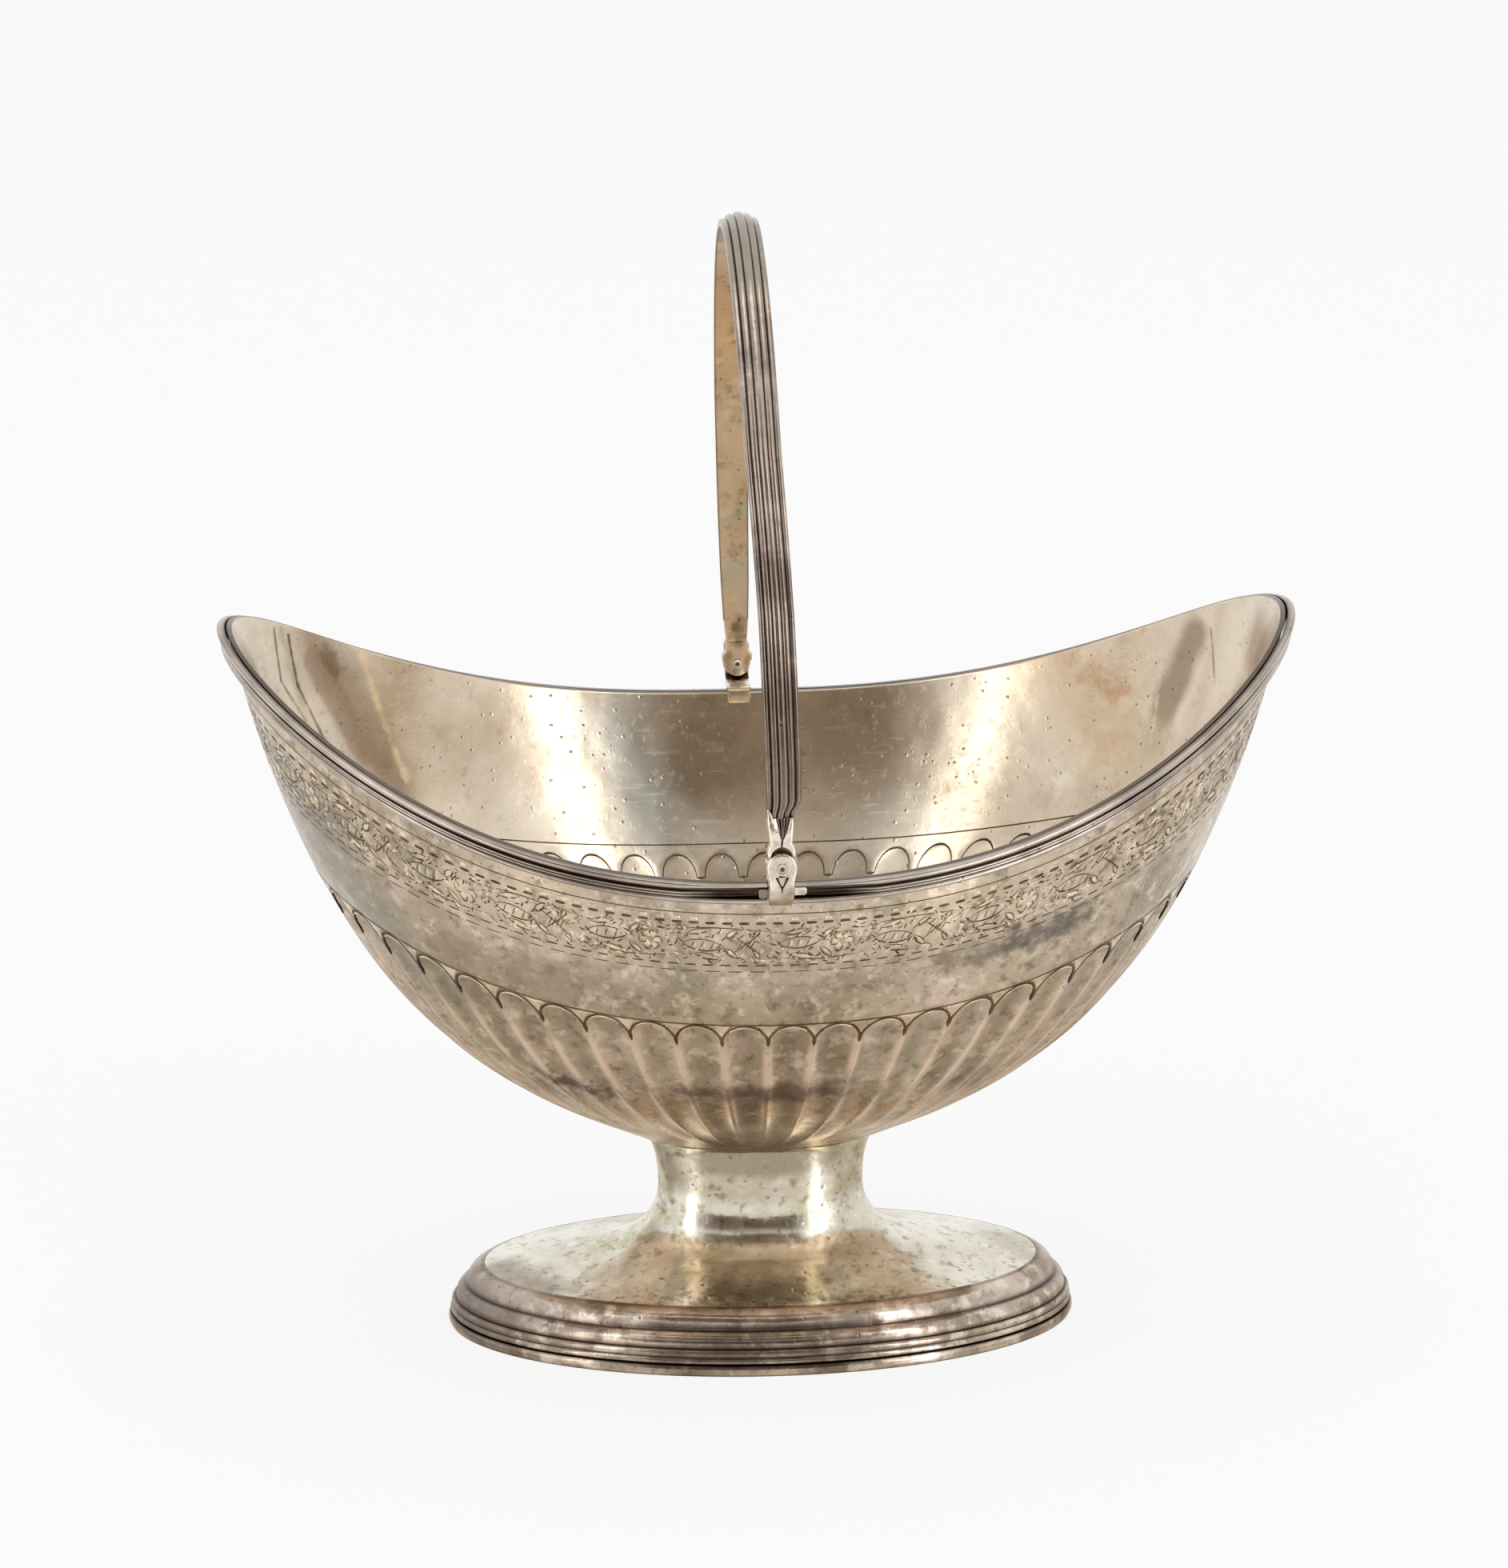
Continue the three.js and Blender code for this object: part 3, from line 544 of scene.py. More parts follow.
def silver_finish(
    name,
    light,
    dark,
    clouds,
    layers,
    roughness,
    pits,
    stains_and_painted_light=(),
    specks=(),
    dirt_and_shade_tone=None,
    ridge_wear_and_highlight_tone=None,
    waves=0.0,
):
    """One silver. All places in it are in millimetres.

    clouds: (scale, start, end) of the mix of light and dark.
    layers: (tone, scale, start, end, amount) of the clouds laid over it. The first is dirt.
    pits: (scale, size, share, amount).
    stains: (from, to, width, core, raggedness, scale, tone, amount).
    specks: (from, to, width) of stretches with more pits.
    dirt_and_shade_tone: the colour where the mesh's groove value is 1: tarnish in cuts
    and joints, and painted shade in slots and gaps.
    ridge_wear_and_highlight_tone: the colour of the flutes' worn ridges and their painted
    highlight.
    waves: the strength of the soft wave.
    """
    material, tree, shader, place = start_metal(name)
    skin = lay_over(tree, light, dark, clouds_on(tree, place, *clouds, 0.0))
    dirt = None
    for seed, (tone, scale, start, end, amount) in enumerate(layers):
        cloud = clouds_on(tree, place, scale, start, end, seed + 1.7)
        skin = lay_over(tree, skin, tone, cloud, amount)
        dirt = dirt or cloud
    if ridge_wear_and_highlight_tone:
        skin = worn_and_highlit_flutes(tree, place, skin, ridge_wear_and_highlight_tone)
    for *shape, tone, amount in stains_and_painted_light:
        skin = lay_over(tree, skin, tone, stain_and_light_on(tree, place, *shape), amount)
    *pit_shape, pit_amount = pits
    pit = pits_on(tree, place, *pit_shape, specks)
    skin = lay_over(tree, skin, PIT_BROWN, pit, pit_amount)
    # Tarnish in cuts and joints, and painted shade in slots and gaps, take this tone.
    if dirt_and_shade_tone:
        skin = lay_over(tree, skin, dirt_and_shade_tone, attribute(tree, "groove"))
    tree.links.new(skin, shader.inputs["Base Color"])

    wiped = add_node(tree, "ShaderNodeGroup", {"Place": place}, node_tree=wipe_group).outputs[0]
    rough = calc(
        tree, "ADD", product(tree, dirt, DIRT_ROUGHNESS), product(tree, wiped, WIPE_ROUGHNESS)
    )
    tree.links.new(calc(tree, "ADD", rough, roughness), shader.inputs["Roughness"])
    height = calc(tree, "ADD", pit, product(tree, wiped, WIPE_HEIGHT))
    bump = add_node(tree, "ShaderNodeBump", {"Height": height, **FINE_BUMP}, invert=True)
    if waves:
        inputs = {"Height": noise(tree, place, WAVE_SCALE, 2.5)}
        inputs.update({"Strength": waves, "Distance": WAVE_HEIGHT})
        hammered = add_node(tree, "ShaderNodeBump", inputs)
        tree.links.new(hammered.outputs[0], bump.inputs["Normal"])
    tree.links.new(bump.outputs[0], shader.inputs["Normal"])
    return material


print("the material maker is ready")

# %% Silver finishes: bowl
outside_silver = silver_finish(
    "bowl_outside_silver",
    light=colour(194, 177, 155),
    dark=colour(158, 142, 121),
    clouds=(42, 0.4, 0.64),
    layers=[
        (colour(120, 103, 88), 100, 0.54, 0.78, 0.5),
        (colour(216, 192, 178), 130, 0.5, 0.66, 0.55),
        (colour(140, 138, 110), 170, 0.5, 0.68, 0.55),
        (colour(232, 218, 196), 400, 0.5, 0.66, 0.6),
        (colour(100, 86, 68), 460, 0.5, 0.68, 0.6),
    ],
    roughness=0.26,
    pits=(680, 0.22, 0.4, 0.6),
    # The flutes' ridges are lightened partly as wear and partly as painted highlight.
    ridge_wear_and_highlight_tone=colour(232, 210, 190),
    waves=0.3,
    stains_and_painted_light=[
        ((36, -41, 74), (46, -36, 76), 3.4, 0.1, 1.3, 420, colour(84, 80, 78), 0.75),
        ((24, -43, 71.5), (33, -41, 72.5), 3.4, 0.1, 1.4, 420, colour(116, 104, 92), 0.7),
        ((-12, -33.5, 48), (7, -34.5, 48.4), 3.8, 0.1, 1.2, 260, colour(92, 72, 62), 0.75),
        ((-58, -29, 80), (-52, -33, 78), 3.5, 0.3, 0.8, 300, colour(176, 150, 136), 0.3),
        ((-61, -23, 73), (-54, -26, 68), 4.0, 0.2, 0.9, 300, colour(134, 130, 118), 0.6),
        ((62, -25, 90), (78, -8, 100), 6.0, 0.1, 0.9, 200, colour(140, 126, 108), 0.6),
        ((-78, -8, 100), (-62, -25, 88), 6.0, 0.1, 0.9, 200, colour(128, 120, 106), 0.65),
        ((-72, -16, 92), (-52, -30, 62), 11.0, 0.0, 0.6, 120, colour(142, 134, 120), 0.7),
        ((-50, -34, 70), (-30, -42, 70), 7.0, 0.0, 0.6, 120, colour(150, 134, 116), 0.55),
        ((-34, -25, 49), (-25, -28, 47), 2.6, 0.1, 1.6, 520, colour(92, 74, 62), 0.8),
    ],
    specks=[((17, -44, 68), (27, -43, 69), 5.0), ((-30, -40, 60), (-36, -38, 62), 4.0)],
    dirt_and_shade_tone=EDGE_TARNISH,
)
inside_silver = silver_finish(
    "bowl_inside_silver",
    light=colour(224, 209, 188),
    dark=colour(190, 173, 150),
    clouds=(38, 0.4, 0.7),
    layers=[
        (colour(132, 108, 84), 130, 0.58, 0.82, 0.4),
        (colour(196, 200, 190), 60, 0.5, 0.75, 0.4),
        (colour(152, 126, 98), 330, 0.56, 0.74, 0.45),
        (colour(236, 224, 202), 460, 0.56, 0.72, 0.4),
    ],
    roughness=0.2,
    pits=(620, 0.22, 0.4, 0.5),
    waves=0.25,
    stains_and_painted_light=[
        # The next two are a brown stain that also stands in for a dark reflection; the third is a
        # bright line of painted reflection beside it.
        ((-68, 26, 104), (-55, 29, 79), 7.5, 0.0, 0.3, 90, colour(150, 122, 94), 0.75),
        ((-67.6, 25, 101), (-60, 27, 86), 3.4, 0.55, 0.3, 200, colour(132, 104, 80), 0.5),
        ((-60.5, 33, 99.5), (-53.8, 30.7, 79.4), 1.1, 0.0, 1.3, 420, colour(238, 214, 178), 0.7),
        ((-72.8, 20.3, 107), (-69.6, 19.6, 96), 1.5, 0.0, 0.8, 300, colour(178, 170, 130), 0.6),
        ((-73.9, 18.7, 107.9), (-73, 16.1, 100.3), 0.6, 0.1, 0.9, 420, colour(96, 78, 64), 0.8),
        ((-73, 16.1, 100.3), (-69, 18.6, 93), 0.6, 0.1, 0.9, 420, colour(96, 78, 64), 0.7),
        ((-71.8, 21.6, 105.9), (-70.4, 19.9, 98.5), 0.6, 0.1, 0.9, 420, colour(90, 72, 58), 0.85),
        ((-70.4, 19.9, 98.5), (-65, 21.5, 85.9), 0.6, 0.1, 0.9, 420, colour(96, 78, 64), 0.75),
        ((-65.5, 27.5, 102), (-64.6, 28, 98), 2.8, 0.1, 1.3, 420, colour(104, 82, 60), 0.65),
        ((-63, 26, 95), (-59, 28.5, 86), 4.0, 0.0, 1.4, 300, colour(168, 146, 116), 0.5),
        ((69.8, 22.3, 103), (66, 23.4, 91), 4.4, 0.3, 0.4, 160, colour(128, 104, 80), 0.7),
        ((66.2, 23.4, 91), (63.4, 23, 84), 4.0, 0.1, 0.5, 160, colour(158, 148, 124), 0.55),
        ((66.2, 27.3, 98), (63.7, 23.4, 85), 0.8, 0.1, 1.1, 600, colour(232, 216, 192), 0.6),
        ((72.1, 19.9, 104.5), (72.6, 15, 96.5), 0.4, 0.3, 0.5, 500, colour(120, 100, 82), 0.6),
        # Painted reflection: the pale blue-grey soft edge of the left strip lamp's reflection.
        ((-19, 44, 84), (-14, 46, 66), 9.0, 0.0, 0.4, 90, colour(204, 208, 200), 0.7),
        ((-78, 4, 104), (-79, -4, 103), 8.0, 0.2, 0.5, 120, colour(160, 136, 108), 0.7),
        ((78, 6, 106), (80, -2, 106), 7.0, 0.2, 0.5, 120, colour(152, 122, 96), 0.75),
        ((-4, 45, 66), (26, 43, 66), 10.0, 0.1, 0.5, 80, colour(240, 230, 210), 0.7),
        ((46, 37, 94), (60, 27, 84), 12.0, 0.0, 0.5, 90, colour(206, 182, 148), 0.75),
        ((50, 36, 95), (58, 31, 92), 4.0, 0.1, 1.3, 380, colour(186, 140, 98), 0.6),
        ((58, 28, 90), (50, 32, 76), 2.6, 0.0, 0.8, 200, colour(240, 228, 206), 0.6),
    ],
    specks=[((-22, 47, 82), (4, 49, 79), 4.5), ((30, 44, 74), (40, 41, 76), 5.0)],
    dirt_and_shade_tone=EDGE_TARNISH,
)
print("bowl finishes:", outside_silver.name, inside_silver.name)

# %% Silver finishes: foot and rim
foot_silver = silver_finish(
    "foot_silver",
    light=colour(232, 227, 214),
    dark=colour(200, 192, 174),
    clouds=(55, 0.4, 0.68),
    layers=[
        (colour(132, 110, 86), 150, 0.56, 0.76, 0.5),
        (colour(186, 182, 140), 120, 0.5, 0.66, 0.6),
        (colour(246, 240, 226), 260, 0.5, 0.66, 0.6),
        (colour(128, 108, 80), 520, 0.52, 0.66, 0.6),
    ],
    roughness=0.15,
    pits=(540, 0.28, 0.6, 0.5),
    waves=0.6,
    stains_and_painted_light=[
        # Painted reflection: the upper stem darkened as if it showed the shaded table.
        ((-9, -8, 28.6), (9, -8, 28.6), 4.6, 0.5, 0.2, 120, colour(172, 162, 142), 0.8),
        ((-42, -3, 9.5), (-34.5, -12, 9.6), 5.5, 0.1, 0.8, 200, colour(150, 138, 122), 0.75),
        ((-16.5, -3, 29), (-14.5, -5, 24.5), 3.4, 0.2, 0.5, 200, colour(150, 140, 122), 0.7),
        ((36, 8, 12), (42, -3, 11), 6.0, 0.1, 0.6, 160, colour(170, 156, 138), 0.4),
        # Painted highlight: a pale patch on the front of the dome.
        ((-6, -13, 12.5), (8, -13, 12.5), 5.0, 0.0, 0.7, 200, colour(250, 246, 228), 0.6),
        ((-15.5, -4, 22), (-18, -5, 15), 3.0, 0.0, 1.4, 420, colour(132, 122, 92), 0.6),
        ((-24, -19.5, 11), (-6, -21.6, 11), 2.4, 0.0, 1.7, 600, colour(96, 78, 58), 0.8),
        ((0, -22, 11), (22, -19.6, 11), 2.2, 0.0, 1.7, 600, colour(110, 90, 68), 0.7),
    ],
    specks=[((-24, -19, 12), (-4, -21, 12), 5.0), ((4, -21, 12), (22, -19, 12), 4.0)],
)
border_silver = silver_finish(
    "border_silver",
    light=colour(216, 200, 184),
    dark=colour(154, 138, 124),
    clouds=(80, 0.38, 0.62),
    layers=[
        (colour(84, 68, 61), 110, 0.46, 0.72, 0.66),
        # Painted highlights: bright blotches on the border.
        (colour(240, 226, 208), 190, 0.52, 0.63, 0.75),
        (colour(92, 77, 66), 460, 0.52, 0.7, 0.55),
    ],
    roughness=0.14,
    pits=(600, 0.2, 0.4, 0.7),
    dirt_and_shade_tone=colour(60, 48, 43),
    waves=0.55,
    stains_and_painted_light=[
        # Painted reflection: the border's left end darkened as if it showed darker surroundings.
        ((-49, 4, 5), (-43, -13, 5), 9.0, 0.2, 0.5, 150, colour(112, 102, 96), 0.75),
        # Painted shadow along the foot of the border at the front.
        ((-20, -26, 3), (20, -26, 3), 4.0, 0.0, 0.9, 150, colour(92, 76, 66), 0.6),
    ],
)
rim_silver = silver_finish(
    "rim_silver",
    light=colour(200, 188, 176),
    dark=colour(152, 137, 126),
    clouds=(60, 0.4, 0.68),
    layers=[
        (PURPLE_TARNISH, 120, 0.5, 0.78, 0.5),
        (colour(112, 92, 76), 420, 0.58, 0.78, 0.4),
    ],
    roughness=0.2,
    pits=(600, 0.2, 0.3, 0.7),
    dirt_and_shade_tone=colour(62, 49, 42),
    stains_and_painted_light=[((-76, -14, 104), (-40, -44, 90), 9.0, 0.1, 0.6, 120, colour(128, 112, 104), 0.6)],
)
print("rim and foot finishes:", rim_silver.name, border_silver.name, foot_silver.name)

# %% Silver finishes: handle and hinges
handle_silver = silver_finish(
    "handle_outside_silver",
    light=colour(184, 170, 156),
    dark=colour(136, 121, 111),
    clouds=(70, 0.4, 0.66),
    layers=[
        (PURPLE_TARNISH, 110, 0.46, 0.76, 0.6),
        # Painted highlights on the reeds.
        (colour(222, 208, 192), 230, 0.56, 0.72, 0.55),
        (colour(92, 75, 66), 300, 0.54, 0.76, 0.4),
    ],
    roughness=0.2,
    pits=(600, 0.2, 0.08, 0.6),
    dirt_and_shade_tone=colour(90, 75, 68),
    waves=0.3,
    stains_and_painted_light=[
        ((2, -57, 98), (2, -56, 116), 9.0, 0.2, 0.4, 90, colour(98, 83, 74), 0.75),
        ((-2, -20, 172), (-2, 12, 174), 9.0, 0.1, 0.5, 120, colour(150, 144, 128), 0.6),
    ],
)
strap_silver = silver_finish(
    "handle_inside_silver",
    light=colour(232, 213, 188),
    dark=colour(212, 190, 162),
    clouds=(70, 0.4, 0.7),
    layers=[
        (colour(148, 118, 88), 130, 0.52, 0.7, 0.6),
        (colour(208, 208, 192), 90, 0.5, 0.62, 0.75),
        (colour(246, 230, 204), 260, 0.52, 0.66, 0.6),
        (colour(152, 122, 92), 420, 0.53, 0.68, 0.55),
    ],
    roughness=0.3,
    pits=(600, 0.22, 0.5, 0.7),
    dirt_and_shade_tone=colour(92, 72, 54),
    stains_and_painted_light=[
        ((2, 50, 141), (2, 51, 134), 3.0, 0.1, 0.6, 200, colour(216, 216, 202), 0.7),
        ((-1, 43, 152), (-1, 46, 146), 2.0, 0.1, 0.8, 260, colour(176, 128, 84), 0.6),
        ((0, 54, 94.5), (0.2, 54, 97.5), 1.9, 0.0, 1.2, 700, colour(118, 108, 76), 0.75),
        ((-1.6, 54, 90), (-1.2, 54, 92.5), 0.9, 0.0, 1.2, 700, colour(128, 112, 84), 0.6),
        ((1.4, 54, 89.6), (1.8, 54, 91.8), 0.8, 0.0, 1.2, 700, colour(138, 120, 92), 0.6),
    ],
)
hinge_silver = silver_finish(
    "hinge_silver",
    light=colour(240, 228, 212),
    dark=colour(190, 174, 156),
    clouds=(160, 0.42, 0.66),
    layers=[
        (colour(112, 92, 78), 280, 0.5, 0.72, 0.55),
        (colour(232, 218, 198), 420, 0.53, 0.7, 0.5),
        (colour(140, 118, 94), 700, 0.54, 0.72, 0.5),
    ],
    roughness=0.24,
    pits=(900, 0.2, 0.3, 0.6),
    dirt_and_shade_tone=colour(66, 50, 44),
)
print("handle finishes:", handle_silver.name, strap_silver.name, hinge_silver.name)

# %% Finish of cut lines
CUT_CLOUDS = (300, 0.35, 0.65)


def plain_silver(name, tone, dark, roughness):
    """A small area of silver: two tones in fine clouds."""
    material, tree, shader, place = start_metal(name)
    fade = clouds_on(tree, place, *CUT_CLOUDS, 0.0)
    tree.links.new(lay_over(tree, tone, dark, fade), shader.inputs["Base Color"])
    shader.inputs["Roughness"].default_value = roughness
    return material


cut_dark = plain_silver("cut_line_dark", colour(118, 96, 72), colour(76, 58, 42), 0.5)
cut_bright = plain_silver("cut_line_bright", colour(230, 212, 186), colour(182, 160, 132), 0.28)
print("materials:", [m.name for m in bpy.data.materials])

# %% [markdown]
# ## The bowl's shape
# The wall is raised from one sheet. Its section is one cubic curve from the seam to the rim,
# and every level is an ellipse, so the whole skin is a formula of two numbers: the angle round
# the bowl and the place along the section. The same formula made the CAD solid, so the fine
# mesh lies where the solid is. The section's four points are shares of the way out from the
# seam and of the way up.

# %% Bowl values
BOWL_LENGTH = 165
BOWL_WIDTH = 106
RIM_SIDE = 87
RIM_TIP = 113.7
RIM_SWEEP = 2.42
WALL = 0.9
SEAM_LENGTH = 36.4
SEAM_WIDTH = 17.4
SEAM_HEIGHT = 30
SECTION_OUT = (0, 0.374, 0.768, 1)
SECTION_UP = (0, 0.14, 0.25, 1)
RIM_WIRE_DEPTH = 1.3
RIM_WIRE_HEIGHT = 3.2
FIT_GAP = 0.3
WALL_LENGTH = BOWL_LENGTH / 2 - RIM_WIRE_DEPTH - FIT_GAP
WALL_WIDTH = BOWL_WIDTH / 2 - RIM_WIRE_DEPTH - FIT_GAP

FLUTES = 50
FLUTE_DEPTH = 0.8
FLUTE_FOOT = 0.03
ARCH_SPRING = 0.5
ARCH_TOP = 0.56
NORMAL_STEP = 1e-3


def cubic(t, points):
    a, b, c, d = points
    s = 1 - t
    return s**3 * a + 3 * s * s * t * b + 3 * s * t * t * c + t**3 * d


def blend(low, high, share):
    return low + (high - low) * share


def rim_height(angle):
    return blend(RIM_SIDE, RIM_TIP, np.abs(np.cos(angle)) ** RIM_SWEEP)


def bowl_point(angle, t):
    """A point of the smooth wall, at an angle round it and a place along its section."""
    angle, t = np.broadcast_arrays(np.asarray(angle, float), np.asarray(t, float))
    out = cubic(t, SECTION_OUT)
    x = np.cos(angle) * blend(SEAM_LENGTH / 2, WALL_LENGTH, out)
    y = np.sin(angle) * blend(SEAM_WIDTH / 2, WALL_WIDTH, out)
    return np.stack([x, y, blend(SEAM_HEIGHT, rim_height(angle), cubic(t, SECTION_UP))], -1)


def bowl_normal(angle, t):
    low = np.maximum(t - NORMAL_STEP, 0)
    high = np.minimum(t + NORMAL_STEP, 1)
    turn = bowl_point(angle + NORMAL_STEP, t) - bowl_point(angle - NORMAL_STEP, t)
    climb = bowl_point(angle, high) - bowl_point(angle, low)
    normal = np.cross(turn, climb)
    return normal / np.linalg.norm(normal, axis=-1, keepdims=True)


def section_at(share):
    """Where along the section a share of the bowl's height lies."""
    fine = np.linspace(0, 1, 4001)
    return np.interp(share, cubic(fine, SECTION_UP), fine)


def even_angles(length, width, count):
    """Angles that divide an oval into equal lengths, starting at its front."""
    fine = np.linspace(-math.pi / 2, 1.5 * math.pi, 16001)
    run = np.hypot(np.diff(np.cos(fine)) * length, np.diff(np.sin(fine)) * width)
    gone = np.concatenate([[0], np.cumsum(run)])
    return np.interp(np.linspace(0, gone[-1], count + 1), gone, fine)


flute_top = section_at(ARCH_TOP)
arch_row = bowl_point(np.array([0, math.pi / 2]), flute_top)
print("flutes end", round(float(arch_row[0][2]), 1), "mm up at the tips")


# %% Mesh helpers
def join_rings(rings, closed_rows=False, caps=False):
    """Quads between rings of the same size, and a fan over each end if it has caps."""
    rows, count = rings.shape[:2]
    points = rings.reshape(-1, 3)
    index = np.arange(rows * count).reshape(rows, count)
    upper = np.roll(index, -1, 0) if closed_rows else index[1:]
    lower = index if closed_rows else index[:-1]
    faces = np.stack([lower, np.roll(lower, -1, 1), np.roll(upper, -1, 1), upper], -1)
    faces = [tuple(face) for face in faces.reshape(-1, 4).tolist()]
    points = points.tolist()
    if caps:
        for row, flip in ((0, True), (rows - 1, False)):
            hub = len(points)
            points.append(rings[row].mean(0).tolist())
            ring = index[row].tolist()
            for a, b in zip(ring, ring[1:] + ring[:1]):
                faces.append((b, a, hub) if flip else (a, b, hub))
    return points, faces


def mesh_from(name, points, faces, attributes=None, smooth_below=None):
    """A mesh in metres from points in millimetres, with point attributes."""
    mesh = bpy.data.meshes.new(name)
    mesh.from_pydata((np.asarray(points) * MM).tolist(), [], faces)
    for label, values in (attributes or {}).items():
        values = np.asarray(values, np.float32)
        if values.ndim == 2:
            made = mesh.attributes.new(label, "FLOAT_VECTOR", "POINT")
            made.data.foreach_set("vector", values.ravel())
        else:
            made = mesh.attributes.new(label, "FLOAT", "POINT")
            made.data.foreach_set("value", values)
    mesh.shade_smooth()
    if smooth_below is not None:
        mesh.set_sharp_from_angle(angle=math.radians(smooth_below))
    mesh.update()
    return mesh


def add_piece(name, mesh, body, slot, *materials, replaces=()):
    """Puts a finished mesh in the scene under its body, and hides the CAD nodes it replaces."""
    piece = bpy.data.objects.new(name, mesh)
    scene.collection.objects.link(piece)
    if materials:
        mesh.materials.clear()
        for material in materials:
            mesh.materials.append(material)
    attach(piece, body)
    if replaces:
        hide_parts(*replaces)
    print(name, len(mesh.polygons), "faces")


def half_turned(points):
    """The same points on the other side: what is in front goes to the back."""
    return np.array(points, float) * [-1, -1, 1]


print("mesh helpers are ready")

# %% [markdown]
# ## Hollow flutes with Geometry Nodes
# Each flute is a hollow pressed into the lower bowl, which ends in a rounded arch. Fifty
# carved by hand would never match, but they all follow one rule of where a point lies round
# the bowl and how high it is. So the smooth skin is made first, with those two numbers stored
# on its points, and a Geometry Nodes tree presses the flutes by moving points inwards.

# %% Flute tree
MATERIAL = "NodeSocketMaterial"
FLUTE_INPUTS = [
    ("Geometry", GEOMETRY, None),
    ("Count", FLOAT, 50.0),
    ("Depth", FLOAT, 0.0008),
    ("Foot", FLOAT, 0.03),
    ("Spring", FLOAT, 0.5),
    ("Top", FLOAT, 0.56),
    ("Outside", MATERIAL, None),
    ("Inside", MATERIAL, None),
]
FOOT_FADE = 0.05
ARCH_STEEPNESS = 0.75
INNER_EASE = 0.82


def stored(tree, name, kind="FLOAT"):
    """A named attribute, in a Geometry Nodes tree."""
    made = add_node(tree, "GeometryNodeInputNamedAttribute", {"Name": name}, data_type=kind)
    return made.outputs["Attribute"]


def finish_tree(tree, geometry, first, second, where, result):
    """Ends a tree: real geometry, the first material, and the second one where it is asked."""
    real = add_node(tree, "GeometryNodeRealizeInstances", {0: geometry})
    inputs = {"Geometry": real.outputs[0], "Material": first}
    all_over = add_node(tree, "GeometryNodeSetMaterial", inputs)
    chosen = calc(tree, "GREATER_THAN", where, 0.5)
    inputs = {"Geometry": all_over.outputs[0], "Selection": chosen, "Material": second}
    partly = add_node(tree, "GeometryNodeSetMaterial", inputs)
    tree.links.new(partly.outputs[0], result["Geometry"])


tree, given, result = new_tree(
    "hollow_flutes", "GeometryNodeTree", FLUTE_INPUTS, [("Geometry", GEOMETRY)]
)
flute_tree = tree
place_round = product(tree, stored(tree, "share_round"), given["Count"])
across = calc(tree, "SUBTRACT", calc(tree, "FRACT", place_round), 0.5)
across = product(tree, calc(tree, "ABSOLUTE", across), 2.0)
share_up = stored(tree, "share_up")
into_arch = calc(tree, "SUBTRACT", share_up, given["Spring"])
arch_reach = calc(tree, "SUBTRACT", given["Top"], given["Spring"])
into_arch = calc(tree, "DIVIDE", into_arch, arch_reach, clamp=True)
opening = calc(tree, "SUBTRACT", 1.0, product(tree, into_arch, into_arch))
opening = calc(tree, "MAXIMUM", calc(tree, "SQRT", opening), 0.001)
across = calc(tree, "DIVIDE", across, opening, clamp=True)
round_floor = calc(tree, "SUBTRACT", 1.0, product(tree, across, across))
round_floor = calc(tree, "POWER", round_floor, ARCH_STEEPNESS)
arch_depth = calc(tree, "POWER", opening, 0.5)
foot_end = calc(tree, "ADD", given["Foot"], FOOT_FADE)
fade = steps_between(tree, share_up, given["Foot"], foot_end)
below_top = calc(tree, "LESS_THAN", share_up, given["Top"])
hollow = product(tree, round_floor, arch_depth, fade, stored(tree, "crowding"), below_top)
shallow = calc(tree, "SUBTRACT", 1.0, product(tree, stored(tree, "inside"), INNER_EASE))
inwards = product(tree, hollow, given["Depth"], -1.0, shallow)
push = scaled(tree, stored(tree, "outwards", "FLOAT_VECTOR"), inwards)
inputs = {"Geometry": given["Geometry"], "Offset": push}
pressed = add_node(tree, "GeometryNodeSetPosition", inputs)
inputs = {"Geometry": pressed.outputs[0], "Name": "hollow", "Value": hollow}
noted = add_node(
    tree, "GeometryNodeStoreNamedAttribute", inputs, data_type="FLOAT", domain="POINT"
)
inside = stored(tree, "inside")
finish_tree(tree, noted.outputs[0], given["Outside"], given["Inside"], inside, result)
print("flute tree:", len(flute_tree.nodes), "nodes")


# %% Running a tree
def run_tree(name, mesh, tree, values):
    """Evaluates a tree on a mesh and returns the result as a plain mesh."""
    maker = bpy.data.objects.new(name, mesh)
    scene.collection.objects.link(maker)
    modifier = maker.modifiers.new("shape", "NODES")
    modifier.node_group = tree
    for item in tree.interface.items_tree:
        if item.in_out == "INPUT" and item.name in values:
            modifier[item.identifier] = values[item.name]
    maker.update_tag()
    graph = bpy.context.evaluated_depsgraph_get()
    made = bpy.data.meshes.new_from_object(
        maker.evaluated_get(graph), preserve_all_data_layers=True, depsgraph=graph
    )
    maker.modifiers.remove(modifier)
    bpy.data.objects.remove(maker)
    made.name = name
    return made


print("ready to run trees")

# %% Bowl rows
COLUMNS_PER_FLUTE = 12
OVAL_SHARES = 2000
FRONT_SHIFT = -0.18 / FLUTES
INNER_EDGE = 0.9973
ROW_NEAR_RIM = 0.985
LAST_ROW = 0.996
# Over the rim, from outside to inside: (place along the section, depth, drop below the rim).
RIM_ROWS = ((1, 0.0, 0.14), (1, 0.14, 0.0), (1, 0.76, 0.0), (INNER_EDGE, WALL, None))


def angle_of(share):
    """The angle of a place round the bowl, with the front flutes a little off the middle."""
    even = even_angles(arch_row[0][0], arch_row[1][1], OVAL_SHARES)
    shifted = share + FRONT_SHIFT * np.cos(math.pi * share) ** 2
    whole = np.floor(shifted)
    turn = np.interp(shifted - whole, np.linspace(0, 1, OVAL_SHARES + 1), even)
    return turn + whole * 2 * math.pi


